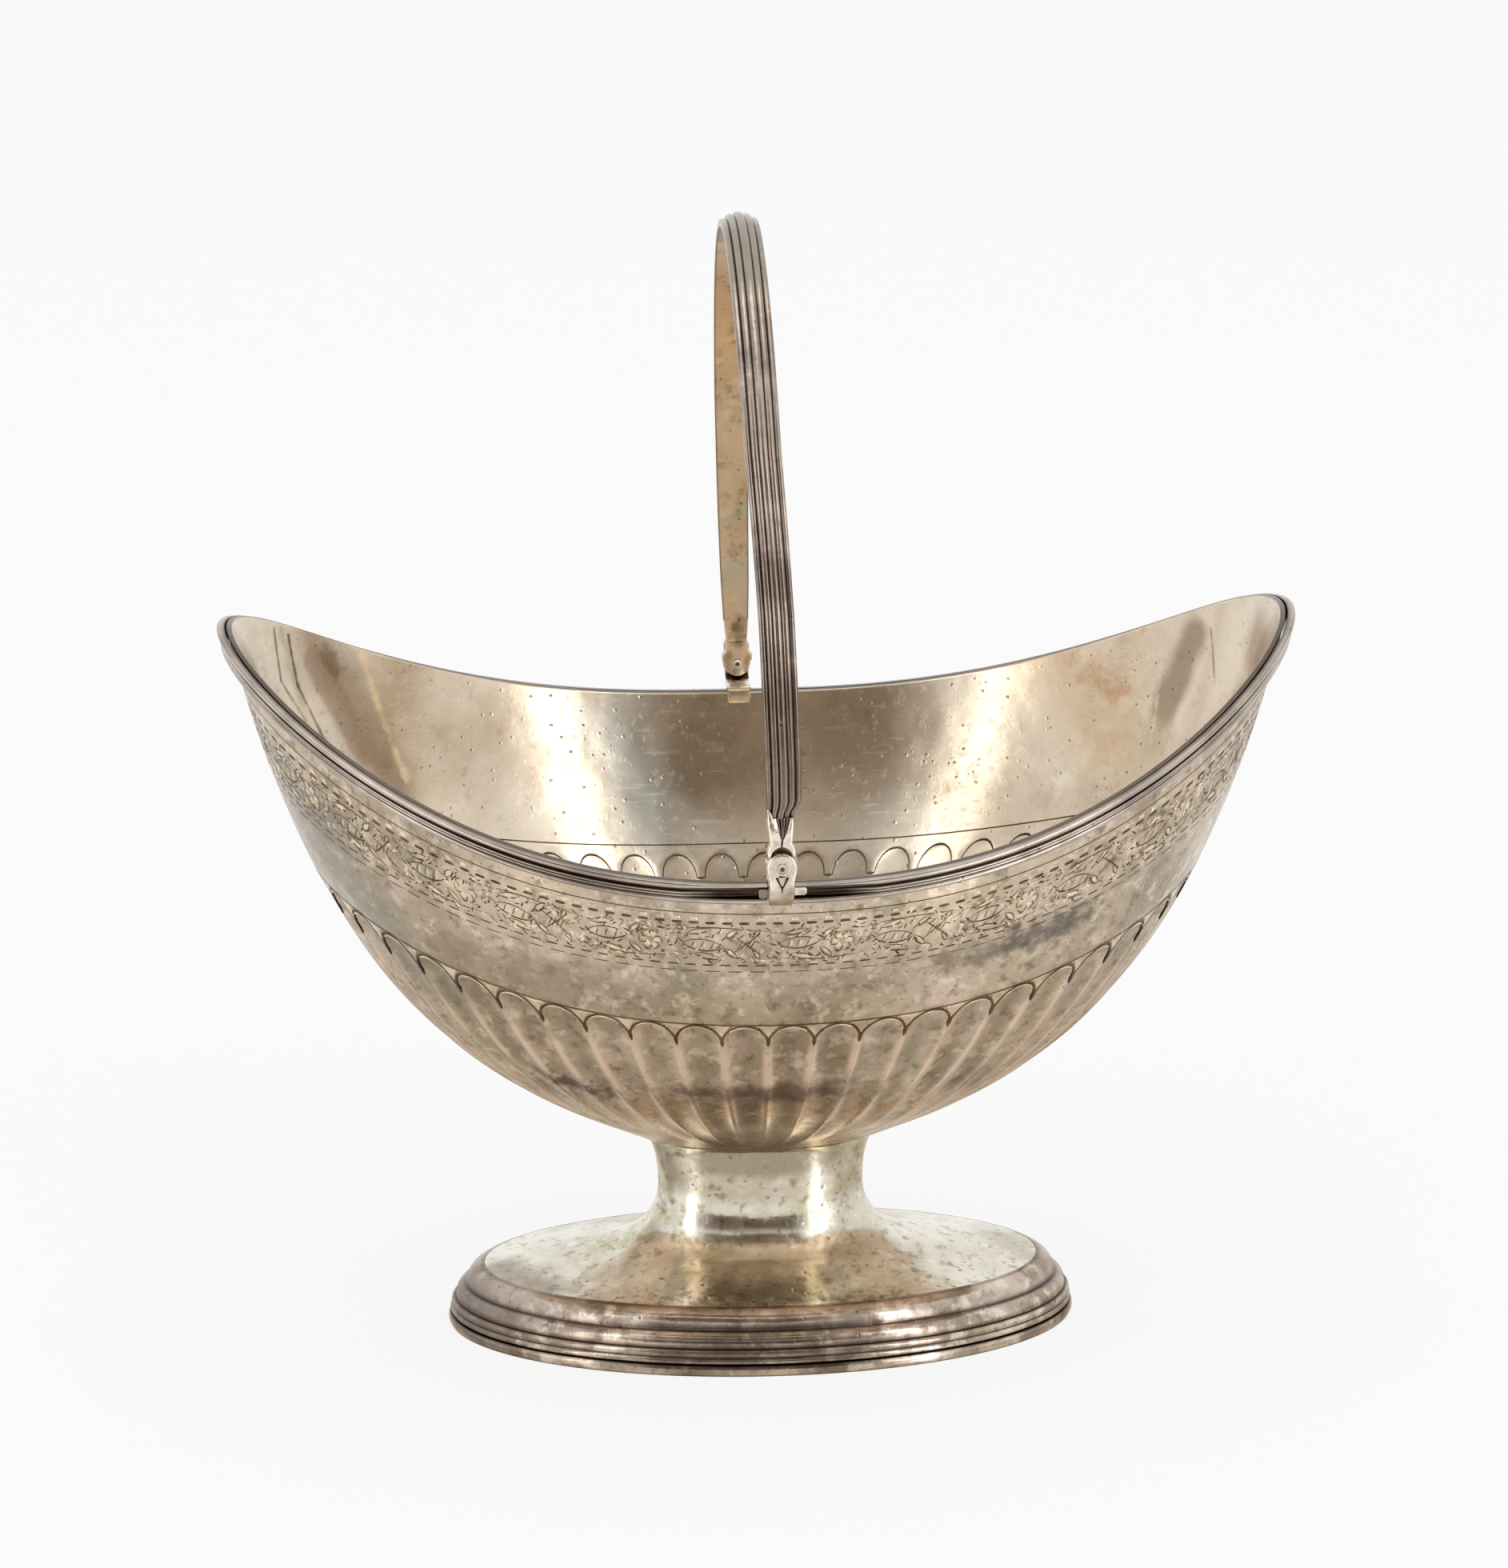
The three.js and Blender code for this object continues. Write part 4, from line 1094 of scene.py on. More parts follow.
def wall_rows(low_rows, arch_rows, plain_rows):
    """Places along the section: even below the arches, close in them, and up to the rim."""
    spring = section_at(ARCH_SPRING)
    low = np.linspace(0, spring, low_rows, endpoint=False)
    arches = np.linspace(spring, flute_top, arch_rows, endpoint=False)
    return np.concatenate(
        [low, arches, np.linspace(flute_top, ROW_NEAR_RIM, plain_rows), [LAST_ROW]]
    )


share_round = np.linspace(0, 1, FLUTES * COLUMNS_PER_FLUTE, endpoint=False)
column_angles = angle_of(share_round)
outer_rows = [(t, 0.0, None) for t in wall_rows(34, 11, 18)]
inner_rows = [(t, WALL, None) for t in wall_rows(30, 11, 14)[::-1]]
bowl_rows = outer_rows + list(RIM_ROWS) + inner_rows
print("bowl:", len(bowl_rows), "rows of", len(column_angles), "points")


# %% Bowl
def bowl_ring(t, depth, drop):
    """One ring of the bowl and its directions outwards."""
    normal = bowl_normal(column_angles, np.full_like(column_angles, t))
    ring = bowl_point(column_angles, t) - normal * depth
    if drop is not None:
        ring[:, 2] = rim_height(column_angles) - drop
    return ring, normal


def make_bowl():
    """The smooth skin, with the numbers that the flute tree and the materials read."""
    full = cubic(flute_top, SECTION_OUT)
    rings, normals, ups, crowds, insides, edges = [], [], [], [], [], []
    for t, depth, drop in bowl_rows:
        ring, normal = bowl_ring(t, depth, drop)
        rings.append(ring)
        normals.append(normal)
        ups.append(cubic(t, SECTION_UP))
        crowds.append(cubic(t, SECTION_OUT) / full)
        insides.append(1 if depth > WALL / 2 else 0)
        edges.append(1 if t > 0.999 else 0)
    points, faces = join_rings(np.array(rings), caps=True)

    def spread(values, first_hub=0, last_hub=0):
        return np.append(np.repeat(values, len(column_angles)), [first_hub, last_hub])

    down = [[0, 0, -1]]
    attributes = {
        "share_up": spread(ups),
        "crowding": spread(crowds),
        "share_round": np.append(np.tile(share_round, len(bowl_rows)), [0, 0]),
        "inside": spread(insides, last_hub=1),
        "groove": spread(edges),
        "outwards": np.concatenate([*normals, down, down]),
    }
    return mesh_from("bowl_skin", points, faces, attributes)


flute_values = {
    "Count": float(FLUTES),
    "Depth": FLUTE_DEPTH * MM,
    "Foot": FLUTE_FOOT,
    "Spring": ARCH_SPRING,
    "Top": ARCH_TOP,
    "Outside": outside_silver,
    "Inside": inside_silver,
}
bowl_mesh = run_tree("bowl_fluted", make_bowl(), flute_tree, flute_values)
add_piece("bowl_fluted", bowl_mesh, "basket", "body_silver", replaces=["bowl"])
assert any(bowl_mesh.materials), "the tree put no material on the bowl"

# %% [markdown]
# ## Engraving with Geometry Nodes
# The engraved borders are small strokes cut with a graver, and each border repeats one unit
# round the bowl. Drawing them as a picture would need a texture, and real strokes catch light
# on one side. So each unit is a small flat mesh of thin dark strokes and small bright cuts.
# A Geometry Nodes tree lays it out in a row as often as it is asked to, and wraps the row on
# the smooth skin: it reads the skin's position and normal at the place's UV, which is the share
# round the bowl and the share of its height.

# %% Skins that carry the engraving
SKIN_COLUMNS = 700
SKIN_ROWS = 120
SKIN_FROM = 0.4


def skin_object(name, depth):
    """A smooth sheet of the bowl with its shares as UV. It only guides the strokes."""
    shares = np.linspace(0, 1, SKIN_COLUMNS + 1)
    heights = np.linspace(SKIN_FROM, 1, SKIN_ROWS + 1)
    angle, t = np.broadcast_arrays(angle_of(shares)[None, :], section_at(heights)[:, None])
    points = bowl_point(angle, t) - bowl_normal(angle, t) * depth
    mesh = sheet_mesh(name, points * MM)
    mesh.shade_smooth()
    corners = np.empty(len(mesh.loops), np.int32)
    mesh.loops.foreach_get("vertex_index", corners)
    u, v = np.meshgrid(shares, heights)
    places = np.stack([u.ravel()[corners], v.ravel()[corners]], -1)
    layer = mesh.uv_layers.new(name="shares")
    layer.data.foreach_set("uv", places.astype(np.float32).ravel())
    skin = bpy.data.objects.new(name, mesh)
    scene.collection.objects.link(skin)
    return skin


outer_skin = skin_object("outer_skin", 0.0)
inner_skin = skin_object("inner_skin", WALL)
print("skins:", len(outer_skin.data.polygons), "faces each")

# %% Wrapping tree
WRAP_INPUTS = [
    ("Geometry", GEOMETRY, None),
    ("Skin", "NodeSocketObject", None),
    ("Count", "NodeSocketInt", 50),
    ("Row", FLOAT, 0.8),
    ("Lift", FLOAT, 1.0),
    ("Dark", MATERIAL, None),
    ("Bright", MATERIAL, None),
]
tree, given, result = new_tree(
    "wrap_round", "GeometryNodeTree", WRAP_INPUTS, [("Geometry", GEOMETRY)]
)
wrap_tree = tree
pitch = calc(tree, "DIVIDE", 1.0, given["Count"])
step = add_node(tree, "ShaderNodeCombineXYZ", {"X": pitch})
inputs = {"Count": given["Count"], "Offset": step.outputs[0]}
line = add_node(tree, "GeometryNodeMeshLine", inputs)
width = add_node(tree, "ShaderNodeCombineXYZ", {"X": pitch, "Y": 1.0, "Z": 1.0})
inputs = {"Points": line.outputs[0], "Instance": given["Geometry"], "Scale": width.outputs[0]}
row = add_node(tree, "GeometryNodeInstanceOnPoints", inputs)
flat = add_node(tree, "GeometryNodeRealizeInstances", {0: row.outputs[0]})
position = tree.nodes.new("GeometryNodeInputPosition").outputs[0]
where = add_node(tree, "ShaderNodeSeparateXYZ", {0: position}).outputs
round_share = calc(tree, "FRACT", where["X"])
height_share = calc(tree, "ADD", where["Y"], given["Row"])
spot = add_node(tree, "ShaderNodeCombineXYZ", {"X": round_share, "Y": height_share})
skin_info = add_node(tree, "GeometryNodeObjectInfo", {"Object": given["Skin"]})
uv = stored(tree, "shares", "FLOAT_VECTOR")


def on_skin(field):
    """What the skin's field is at the place that the spot's UV gives."""
    inputs = {"Mesh": skin_info.outputs["Geometry"], "Value": tree.nodes.new(field).outputs[0]}
    inputs.update({"UV Map": uv, "Sample UV": spot.outputs[0]})
    sample = add_node(tree, "GeometryNodeSampleUVSurface", inputs, data_type="FLOAT_VECTOR")
    return sample.outputs["Value"]


point, normal = on_skin("GeometryNodeInputPosition"), on_skin("GeometryNodeInputNormal")
proud = product(tree, where["Z"], given["Lift"])
placed = arrow(tree, "ADD", point, scaled(tree, normal, proud))
inputs = {"Geometry": flat.outputs[0], "Position": placed}
wrapped = add_node(tree, "GeometryNodeSetPosition", inputs)
bright = stored(tree, "bright")
finish_tree(tree, wrapped.outputs[0], given["Dark"], given["Bright"], bright, result)
print("wrapping tree:", len(wrap_tree.nodes), "nodes")

# %% [markdown]
# ## Drawing with a graver
# A stroke is a thin three-sided bar along a curve, thick in the middle and pointed at its ends.
# A stroke is dark all over, where tarnish stays, or bright all over where it is asked to be.
# The bright cuts, where the graver cut clean metal, are small flat facets. Points are drawn in
# millimetres in a flat unit, x along the border and y up, and are divided by the unit's width
# and the wall's height at the front.

# %% Strokes
WALL_SPAN = 59.0
STROKE_HEIGHT = 0.025
STROKE_FOOT = -0.008
FACET_FOOT = -0.01
FACET_SLOPE = 0.8


def curve_points(ends, steps):
    """Points of a Bezier curve through two ends with one or two handles."""
    ends = np.array(ends, float)
    t = np.linspace(0, 1, steps + 1)[:, None]
    if len(ends) == 2:
        return ends[0] + (ends[1] - ends[0]) * t
    if len(ends) == 3:
        a, b, c = ends
        ends = np.array([a, a + (b - a) * 2 / 3, c + (b - c) * 2 / 3, c])
    return cubic(t, ends)


class Unit:
    """A flat unit of an engraved border: dark strokes and bright cuts."""

    def __init__(self, width):
        self.width = width
        self.points = []
        self.faces = []
        self.bright = []

    def stroke(self, ends, broad, steps, tip=0.35):
        self.follow(curve_points(ends, steps), broad, tip)

    def follow(self, line, broad, tip=0.35, bright=0):
        """A three-sided bar along a line, swelling in the middle where tip is below 1."""
        along = np.gradient(line, axis=0)
        along /= np.linalg.norm(along, axis=1, keepdims=True) + 1e-9
        side = np.stack([-along[:, 1], along[:, 0]], 1)
        swell = tip + (1 - tip) * np.sin(math.pi * np.linspace(0, 1, len(line)))
        half = broad / 2 * swell[:, None]
        start = len(self.points)
        for low, top, middle in zip(line - side * half, line + side * half, line):
            self.points += [(*low, STROKE_FOOT), (*middle, STROKE_HEIGHT), (*top, STROKE_FOOT)]
        for i in range(len(line) - 1):
            a = start + 3 * i
            for j in range(3):
                k = (j + 1) % 3
                self.faces.append((a + j, a + k, a + 3 + k, a + 3 + j)[::-1])
        last = start + 3 * (len(line) - 1)
        self.faces += [(start, start + 1, start + 2), (last + 2, last + 1, last)]
        self.bright += [bright] * (len(self.faces) - len(self.bright))

    def facet(self, corners, height=0.035):
        """A bright cut: a flat patch with sloping edges."""
        corners = np.array(corners, float)
        middle = corners.mean(0)
        start = len(self.points)
        count = len(corners)
        self.points += [(x, y, FACET_FOOT) for x, y in corners]
        self.points += [(x, y, height) for x, y in middle + (corners - middle) * FACET_SLOPE]
        for i in range(count):
            k = (i + 1) % count
            self.faces.append((start + i, start + k, start + count + k, start + count + i))
        self.faces.append(tuple(start + count + i for i in range(count)))
        self.faces.append(tuple(start + i for i in range(count))[::-1])
        self.bright += [1] * (len(self.faces) - len(self.bright))

    def mesh(self, name):
        """The unit as shares: one unit wide, and heights as shares of the wall's."""
        points = np.array(self.points)
        points[:, 0] /= self.width
        points[:, 1] /= WALL_SPAN
        points[:, 2] *= MM
        mesh = bpy.data.meshes.new(name)
        mesh.from_pydata(points.tolist(), [], self.faces)
        made = mesh.attributes.new("bright", "FLOAT", "FACE")
        made.data.foreach_set("value", np.array(self.bright, np.float32))
        mesh.update()
        return mesh


def engrave(name, unit, count, row, skin=outer_skin, lift=1.0):
    """Wraps a unit round the bowl, count times, at a share of its height.

    A lift of 1 is the strokes' own height. A negative one stands inwards.
    """
    values = {"Skin": skin, "Count": count, "Row": row, "Lift": lift}
    values.update({"Dark": cut_dark, "Bright": cut_bright})
    mesh = run_tree(name, unit.mesh(name + "_unit"), wrap_tree, values)
    add_piece(name, mesh, "basket", "body_silver")


print("strokes are", STROKE_HEIGHT, "mm high")

# %% Leaves and curls
BAND_ROUND = 400.0
SCROLL_COUNT = 14
scroll_width = BAND_ROUND / SCROLL_COUNT
LONG_LEAF = 5
VEIN_SHARES = (0.2, 0.42, 0.66)


def turned(points, angle, shift, flip=1):
    """Points of a motif, turned about its start and moved. A flip of -1 mirrors it."""
    c, s = math.cos(math.radians(angle)), math.sin(math.radians(angle))
    return [
        (shift[0] + x * c - y * flip * s, shift[1] + x * s + y * flip * c) for x, y in points
    ]


def almond(unit, base, angle, length, breadth, broad=0.3):
    """A pointed leaf: two bowed sides, and veins or a bright cut between them."""
    sides = []
    for side in (1, -1):
        bow = [(0, 0), (length * 0.3, side * breadth), (length * 0.72, side * breadth * 0.9)]
        ends = turned(bow + [(length, 0)], angle, base)
        unit.stroke(ends, broad * (1.25 if side < 0 else 0.85), 7)
        sides.append(curve_points(ends, 5))
    if length < LONG_LEAF:
        ring = np.concatenate([sides[1][:-1], sides[0][::-1][:-1]])
        middle = ring.mean(0)
        unit.facet(middle + (ring - middle) * 0.62)
        return
    for share in VEIN_SHARES:
        vein = [(length * share, -breadth * 0.5), (length * (share + 0.1), breadth * 0.5)]
        unit.stroke(turned(vein, angle, base), 0.21, 3)
        cut = [(0.5, -0.4), (0.9, -0.3), (1.0, 0.35), (0.65, 0.3)]
        corners = [(length * share + x, y * breadth) for x, y in cut]
        unit.facet(turned(corners, angle, base), 0.03)


def curl(unit, base, angle, size, flip=1, broad=0.26):
    """A short hooked stroke with a bright cut in its bow."""
    hook = [(0, 0), (size * 0.9, 0.1 * size), (size * 1.1, 0.8 * size), (0.4 * size, 0.75 * size)]
    unit.stroke(turned(hook, angle, base, flip), broad, 5)
    patch = [(0.3 * size, 0.2 * size), (0.75 * size, 0.25 * size), (0.75 * size, 0.5 * size)]
    unit.facet(turned(patch, angle, base, flip)[::flip])


def scatter(unit, rng, count, reach, keep_off):
    """Small cuts between the main shapes: short dark strokes and bright flecks."""
    for _ in range(count):
        x, y = rng.uniform(0, unit.width), rng.uniform(-reach, reach)
        if any(math.hypot((x - cx) / rx, (y - cy) / ry) < 1 for cx, cy, rx, ry in keep_off):
            continue
        turn = rng.uniform(-70, 70)
        size = rng.uniform(0.5, 1.2)
        if rng.random() < 0.5:
            bend = [(0, 0), (size * 0.5, rng.uniform(-0.35, 0.35)), (size, 0)]
            unit.stroke(turned(bend, turn, (x, y)), rng.uniform(0.24, 0.4), 3)
        else:
            wedge = [(0, 0), (size * 0.6, -0.16), (size, 0.05), (size * 0.45, 0.26)]
            unit.facet(turned(wedge, turn, (x, y)))


print("a scroll unit is", round(scroll_width, 1), "mm wide")


# %% Leaf scroll
# (start along, start up, angle, length, breadth, stroke) of a sprig's leaves.
LEAVES = (
    (2.1, 1.7, 14, 3.8, 0.6, 0.24),
    (3.0, -1.8, -12, 4.0, 0.7, 0.28),
    (7.7, 0.9, 42, 2.6, 0.6, 0.24),
    (7.6, -0.7, -44, 2.6, 0.6, 0.26),
)
# (start along, start up, angle, size, flip) of a sprig's curls.
CURLS = (
    (0.7, 1.9, 30, 1.3, 1),
    (1.1, -1.6, -30, 1.3, -1),
    (6.4, 1.7, 25, 1.3, 1),
    (6.2, -1.9, -25, 1.3, -1),
    (0.2, 0.6, 70, 1.0, 1),
    (9.6, 2.2, 10, 1.1, 1),
    (9.8, -2.4, -10, 1.1, -1),
    (12.6, 1.6, 150, 1.2, 1),
    (12.9, -1.5, 200, 1.2, -1),
)
KNOT_AT = 10.9
SMALL_CUTS = 210
CUT_SEED = 7


def flower(unit, place):
    """A knot of six petals between two leaves."""
    for k in range(6):
        petal = [(0.35, -0.3), (1.3, -0.42), (1.5, 0.1), (0.9, 0.5)]
        unit.facet(turned(petal, 60 * k, place))
        unit.stroke(turned([(0.5, 0.55), (1.7, 0.62)], 60 * k, place), 0.26, 3)
        unit.stroke(turned([(1.6, -0.6), (1.9, 0.0), (1.6, 0.6)], 60 * k, place), 0.24, 3)


def crossing(unit, place):
    """A knot of two crossing stems over fine hatching."""
    for x in (-0.9, -0.3, 0.3, 0.9):
        unit.stroke(turned([(x - 0.5, -0.9), (x + 0.5, 0.8)], 0, place), 0.24, 3)
    for side in (1, -1):
        ends = [(-2.1, -1.6), (-0.8, -0.6), (0.9, 0.8), (2.2, 2.0)]
        unit.stroke(turned(ends, 0, place, side), 0.3, 6)
        almond(unit, (place[0] + 1.1, place[1] + 1.2 * side), 58 * side, 1.7, 0.4, 0.2)


def scroll_unit():
    """Two sprigs with a flower and a crossing between them, on a waving stem."""
    unit = Unit(scroll_width)
    w = scroll_width
    keep_off = []
    for at, lean in ((0.0, 4), (w / 2, -5)):
        almond(unit, (at + 1.3, 0.0), lean, 6.3, 1.4, 0.31)
        keep_off.append((at + 4.4, 0.0, 3.1, 1.0))
        for x, y, *shape in LEAVES:
            almond(unit, (at + x, y), *shape)
        for x, y, *shape in CURLS:
            curl(unit, (at + x, y), *shape)
    unit.stroke([(0, -2.1), (w * 0.2, -3.3), (w * 0.32, -2.8), (w * 0.5, -2.2)], 0.26, 9)
    unit.stroke([(w * 0.5, 2.2), (w * 0.66, 3.3), (w * 0.84, 2.8), (w, 2.2)], 0.26, 9)
    flower(unit, (KNOT_AT, 0.1))
    crossing(unit, (w / 2 + KNOT_AT, 0.0))
    keep_off += [(KNOT_AT, 0.1, 2.0, 2.0), (w / 2 + KNOT_AT, 0.0, 1.2, 1.2)]
    scatter(unit, np.random.default_rng(CUT_SEED), SMALL_CUTS, 3.3, keep_off)
    return unit


engrave("leaf_scroll_engraved", scroll_unit(), SCROLL_COUNT, 0.817)

# %% Dashed borders
DASH_GAP = 0.12
LINE_UNIT = 4.0
LINE_COUNT = 100


def dash_unit(width, length, broad, facet_height):
    """A dark dash under a row of small bright cuts."""
    unit = Unit(width)
    start = (width - length) / 2
    unit.stroke([(start, 0), (start + length, 0)], broad, 4, tip=0.75)
    if facet_height:
        low = broad * 0.5 + DASH_GAP
        left, right = start + 0.25, start + length - 0.1
        high = low + facet_height
        unit.facet([(left, low), (right, low), (right - 0.2, high), (left + 0.1, high)])
    return unit


def line_unit(broad):
    """A plain line."""
    unit = Unit(LINE_UNIT)
    unit.stroke([(0, 0), (LINE_UNIT, 0)], broad, 4, tip=1.0)
    return unit


engrave("upper_dashes_cut", dash_unit(2.45, 1.45, 0.62, 0.6), 163, 0.879)
engrave("upper_line_cut", line_unit(0.26), LINE_COUNT, 0.907)
engrave("lower_dashes_cut", dash_unit(2.6, 1.6, 0.38, 0), 150, 0.7525)
engrave("lower_line_cut", dash_unit(3.4, 2.3, 0.24, 0), 116, 0.733)

# %% Arches of the flutes
ARCH_ROUND = 356.0
arch_width = ARCH_ROUND / FLUTES
arch_rise = (ARCH_TOP - ARCH_SPRING) * WALL_SPAN
OUTER_ARCH = 0.38
INNER_ARCH = 0.62
INNER_GAP = 0.1


def arch_line(gap):
    """Half an oval, from one valley between arches to the next."""
    turn = np.linspace(0, math.pi, 19)
    x = arch_width * (0.5 - (0.5 - gap) * np.cos(turn))
    return np.stack([x, arch_rise * (np.sin(turn) - 1)], 1)


def outer_arch():
    """An arch with a short cut in its valley, the line over it and a lit inner edge."""
    unit = Unit(arch_width)
    line = arch_line(0)
    foot = line[0][1]
    unit.follow(line, OUTER_ARCH, 1.0)
    unit.stroke([(0, foot + 1.3), (0.02, foot - 0.5)], OUTER_ARCH * 1.7, 5, tip=0.3)
    unit.stroke([(0, 0.2), (arch_width, 0.2)], 0.34, 6, tip=1.0)
    unit.facet([(-1.5, 0.0), (0, -2.1), (1.5, 0.0), (0, -0.15)], 0.02)
    unit.follow(line[5:14] - [0, OUTER_ARCH * 0.9], 0.3, 0.4, bright=1)
    return unit


def inner_arch():
    """An arch seen from inside, with a flat step to the next one."""
    unit = Unit(arch_width)
    line = arch_line(INNER_GAP)
    foot = line[0][1]
    unit.follow(line, INNER_ARCH, 1.0)
    for low, high in ((0, INNER_GAP), (1 - INNER_GAP, 1)):
        unit.stroke([(low * arch_width, foot), (high * arch_width, foot)], INNER_ARCH, 2, 1.0)
    return unit


engrave("flute_arches_cut", outer_arch(), FLUTES, ARCH_TOP)
# Inside nothing is engraved: these dark lines are drawn where the flutes' edges turn.
engrave("flute_arches_inside", inner_arch(), FLUTES, ARCH_TOP, inner_skin, -4.0)
engrave("inner_line_cut", line_unit(0.28), LINE_COUNT, 0.587, inner_skin, -1.0)
for skin in (outer_skin, inner_skin):
    bpy.data.objects.remove(skin)

# %% [markdown]
# ## Reeded wire round the rim
# Two half rings of wire drawn with fine reeds are soldered round the rim, from one hinge to
# the other. Close to a hinge the middle reeds are filed away, which leaves a slot. The slot and
# the groove under the top reed are painted dark as shade. A loft in code suits it: a section of
# half-round reeds is carried along the rim's curve.


# %% Rim wires
FLARE = (
    (1 - SECTION_OUT[2])
    * (WALL_WIDTH - SEAM_WIDTH / 2)
    / ((1 - SECTION_UP[2]) * (RIM_SIDE - SEAM_HEIGHT))
)
RIM_STATIONS = 260
SLOT_LENGTH = 12.0
LUG_HALF_WIDTH = 1.85
REED_STEPS = 7
RIM_CORNER = 0.7


def rim_section(slot):
    """(out, along, groove) points. Slot is 1 at a lug, where the middle reeds are filed away."""
    shallow = 0.66 - 0.36 * slot
    crest, valley = 1.15 - 0.85 * slot, 0.85 - 0.55 * slot
    # The edges between the five reeds, from the rim's top down.
    edges = (
        0.0,
        -1.0 + 0.65 * slot,
        -1.38 + 0.43 * slot,
        -1.82 + 0.14 * slot,
        -2.27,
        -RIM_WIRE_HEIGHT,
    )
    depths = ((1.27, 0.75), (shallow, shallow), (crest, valley), (crest, valley), (1.27, 0.7))
    made = []
    for number, (crest, valley) in enumerate(depths):
        high, low = edges[number : number + 2]
        for i in range(REED_STEPS):
            turn = math.pi * i / REED_STEPS
            rise = math.sin(turn)
            out = blend(valley, crest, rise**0.7)
            dark = 1 - min(1, rise * 1.5)
            # Painted shade: the groove under the top reed, and the filed slot near a lug, are
            # dark.
            if number == 1:
                dark = 0.75 + 0.25 * slot
            elif number in (2, 3):
                dark = max(dark * 0.8, min(1, slot * 1.8))
            made.append((out, blend(high, low, (1 - math.cos(turn)) / 2), dark))
    made[0] = (RIM_CORNER, 0.0, 0.1)
    made.append((RIM_CORNER, -RIM_WIRE_HEIGHT, 1.0))
    return [(0, 0, 0.9)] + made + [(0, -RIM_WIRE_HEIGHT, 1)]


def make_rim_wire(name, side):
    """Half a ring, from lug to lug. The left one is the right one turned half round."""
    edge = math.asin((LUG_HALF_WIDTH + 0.1) / (BOWL_LENGTH / 2))
    share = np.linspace(0, 1, RIM_STATIONS)
    angles = blend(-math.pi / 2 + edge, math.pi / 2 - edge, share)
    rings, dirt_and_shade_rows = [], []
    for angle in angles:
        top = bowl_point(angle, 1.0)
        outward = np.array([math.cos(angle) * WALL_WIDTH, math.sin(angle) * WALL_LENGTH, 0])
        outward /= np.linalg.norm(outward)
        from_lug = (math.pi / 2 - edge - abs(angle)) * WALL_LENGTH
        slot = max(0.0, 1 - from_lug / SLOT_LENGTH) ** 0.6
        ring, groove = [], []
        for out, along, dark in rim_section(slot):
            reach = FIT_GAP + out + FLARE * along
            ring.append(top + outward * reach + np.array([0, 0, along]))
            groove.append(dark)
        rings.append(ring)
        dirt_and_shade_rows.append(groove)
    points, faces = join_rings(np.array(rings), caps=True)
    values = np.append(np.array(dirt_and_shade_rows).ravel(), [0.5, 0.5])
    points = half_turned(points) if side == "left" else points
    return mesh_from(name, points, faces, {"groove": values}, smooth_below=50)


for side in ("right", "left"):
    mesh = make_rim_wire(f"rim_wire_{side}_reeded", side)
    add_piece(mesh.name, mesh, "basket", "wire_silver", rim_silver, replaces=[f"rim_wire_{side}"])

# %% [markdown]
# ## Pedestal and foot border
# The stem and the foot's dome are one sheet, raised over an oval. The border is three drawn
# wires, each bent to the oval and soldered to the next. Both are ovals stacked up, so the same
# ring helper makes them from a list of margins and heights.

# %% Pedestal
WAIST_LENGTH = 32
WAIST_WIDTH = 15.6
WAIST_HEIGHT = 22.3
DOME_DROP = 9
DOME_SPREAD = 18
DOME_RISE = 3
PEDESTAL_WALL = 0.9
SOLDER_GAP = 0.06
FOOT_LENGTH = 98
FOOT_WIDTH = 56
BASE_RING_HEIGHT = 1.7
REED_HEIGHT = 2.4
STEP_HEIGHT = 5.3
WIRE_BREADTH = 5.6
BORDER_HEIGHT = BASE_RING_HEIGHT + REED_HEIGHT + STEP_HEIGHT
OVAL_STEPS = 256
STEM_ROWS = 14
DOME_ROWS = 40


def oval_rings(stations):
    """Rings from (half length, half width, height) stations."""
    turn = np.linspace(0, 2 * math.pi, OVAL_STEPS, endpoint=False)
    level = np.ones_like(turn)
    rings = [np.stack([a * np.cos(turn), b * np.sin(turn), z * level], -1) for a, b, z in stations]
    return np.array(rings)


def pedestal_section():
    """Stations down the outside: a quarter oval to the waist, then a curve to the dome's edge."""
    made = []
    for share in np.linspace(0, 1, STEM_ROWS, endpoint=False):
        turn = math.pi / 2 * (1 - share)
        spread = 1 - math.cos(turn)
        length = blend(WAIST_LENGTH, SEAM_LENGTH, spread) / 2
        width = blend(WAIST_WIDTH, SEAM_WIDTH, spread) / 2
        made.append((length, width, blend(WAIST_HEIGHT, SEAM_HEIGHT, math.sin(turn))))
    border_length = FOOT_LENGTH / 2 - WIRE_BREADTH
    edge_length = border_length - SOLDER_GAP
    edge_width = FOOT_WIDTH / 2 - WIRE_BREADTH - SOLDER_GAP
    pull = 1 - DOME_SPREAD / (border_length - WAIST_LENGTH / 2)
    drops = (WAIST_HEIGHT, WAIST_HEIGHT - DOME_DROP, BORDER_HEIGHT + DOME_RISE, BORDER_HEIGHT)
    for t in np.linspace(0, 1, DOME_ROWS):
        out = cubic(t, (0, 0, pull, 1))
        length = blend(WAIST_LENGTH / 2, edge_length, out)
        made.append((length, blend(WAIST_WIDTH / 2, edge_width, out), cubic(t, drops)))
    made.append((edge_length, edge_width, BASE_RING_HEIGHT))
    return made


def inner_section(section, wall):
    """The same section moved in by the wall, square to itself."""
    made = []
    for i, (length, width, height) in enumerate(section):
        before = section[max(i - 1, 0)]
        after = section[min(i + 1, len(section) - 1)]
        run, fall = after[0] - before[0], after[2] - before[2]
        size = math.hypot(run, fall)
        at_end = i in (0, len(section) - 1)
        inward = wall if at_end else wall * -fall / size
        down = 0 if at_end else wall * run / size
        made.append((length - inward, width - inward, height - down))
    return made


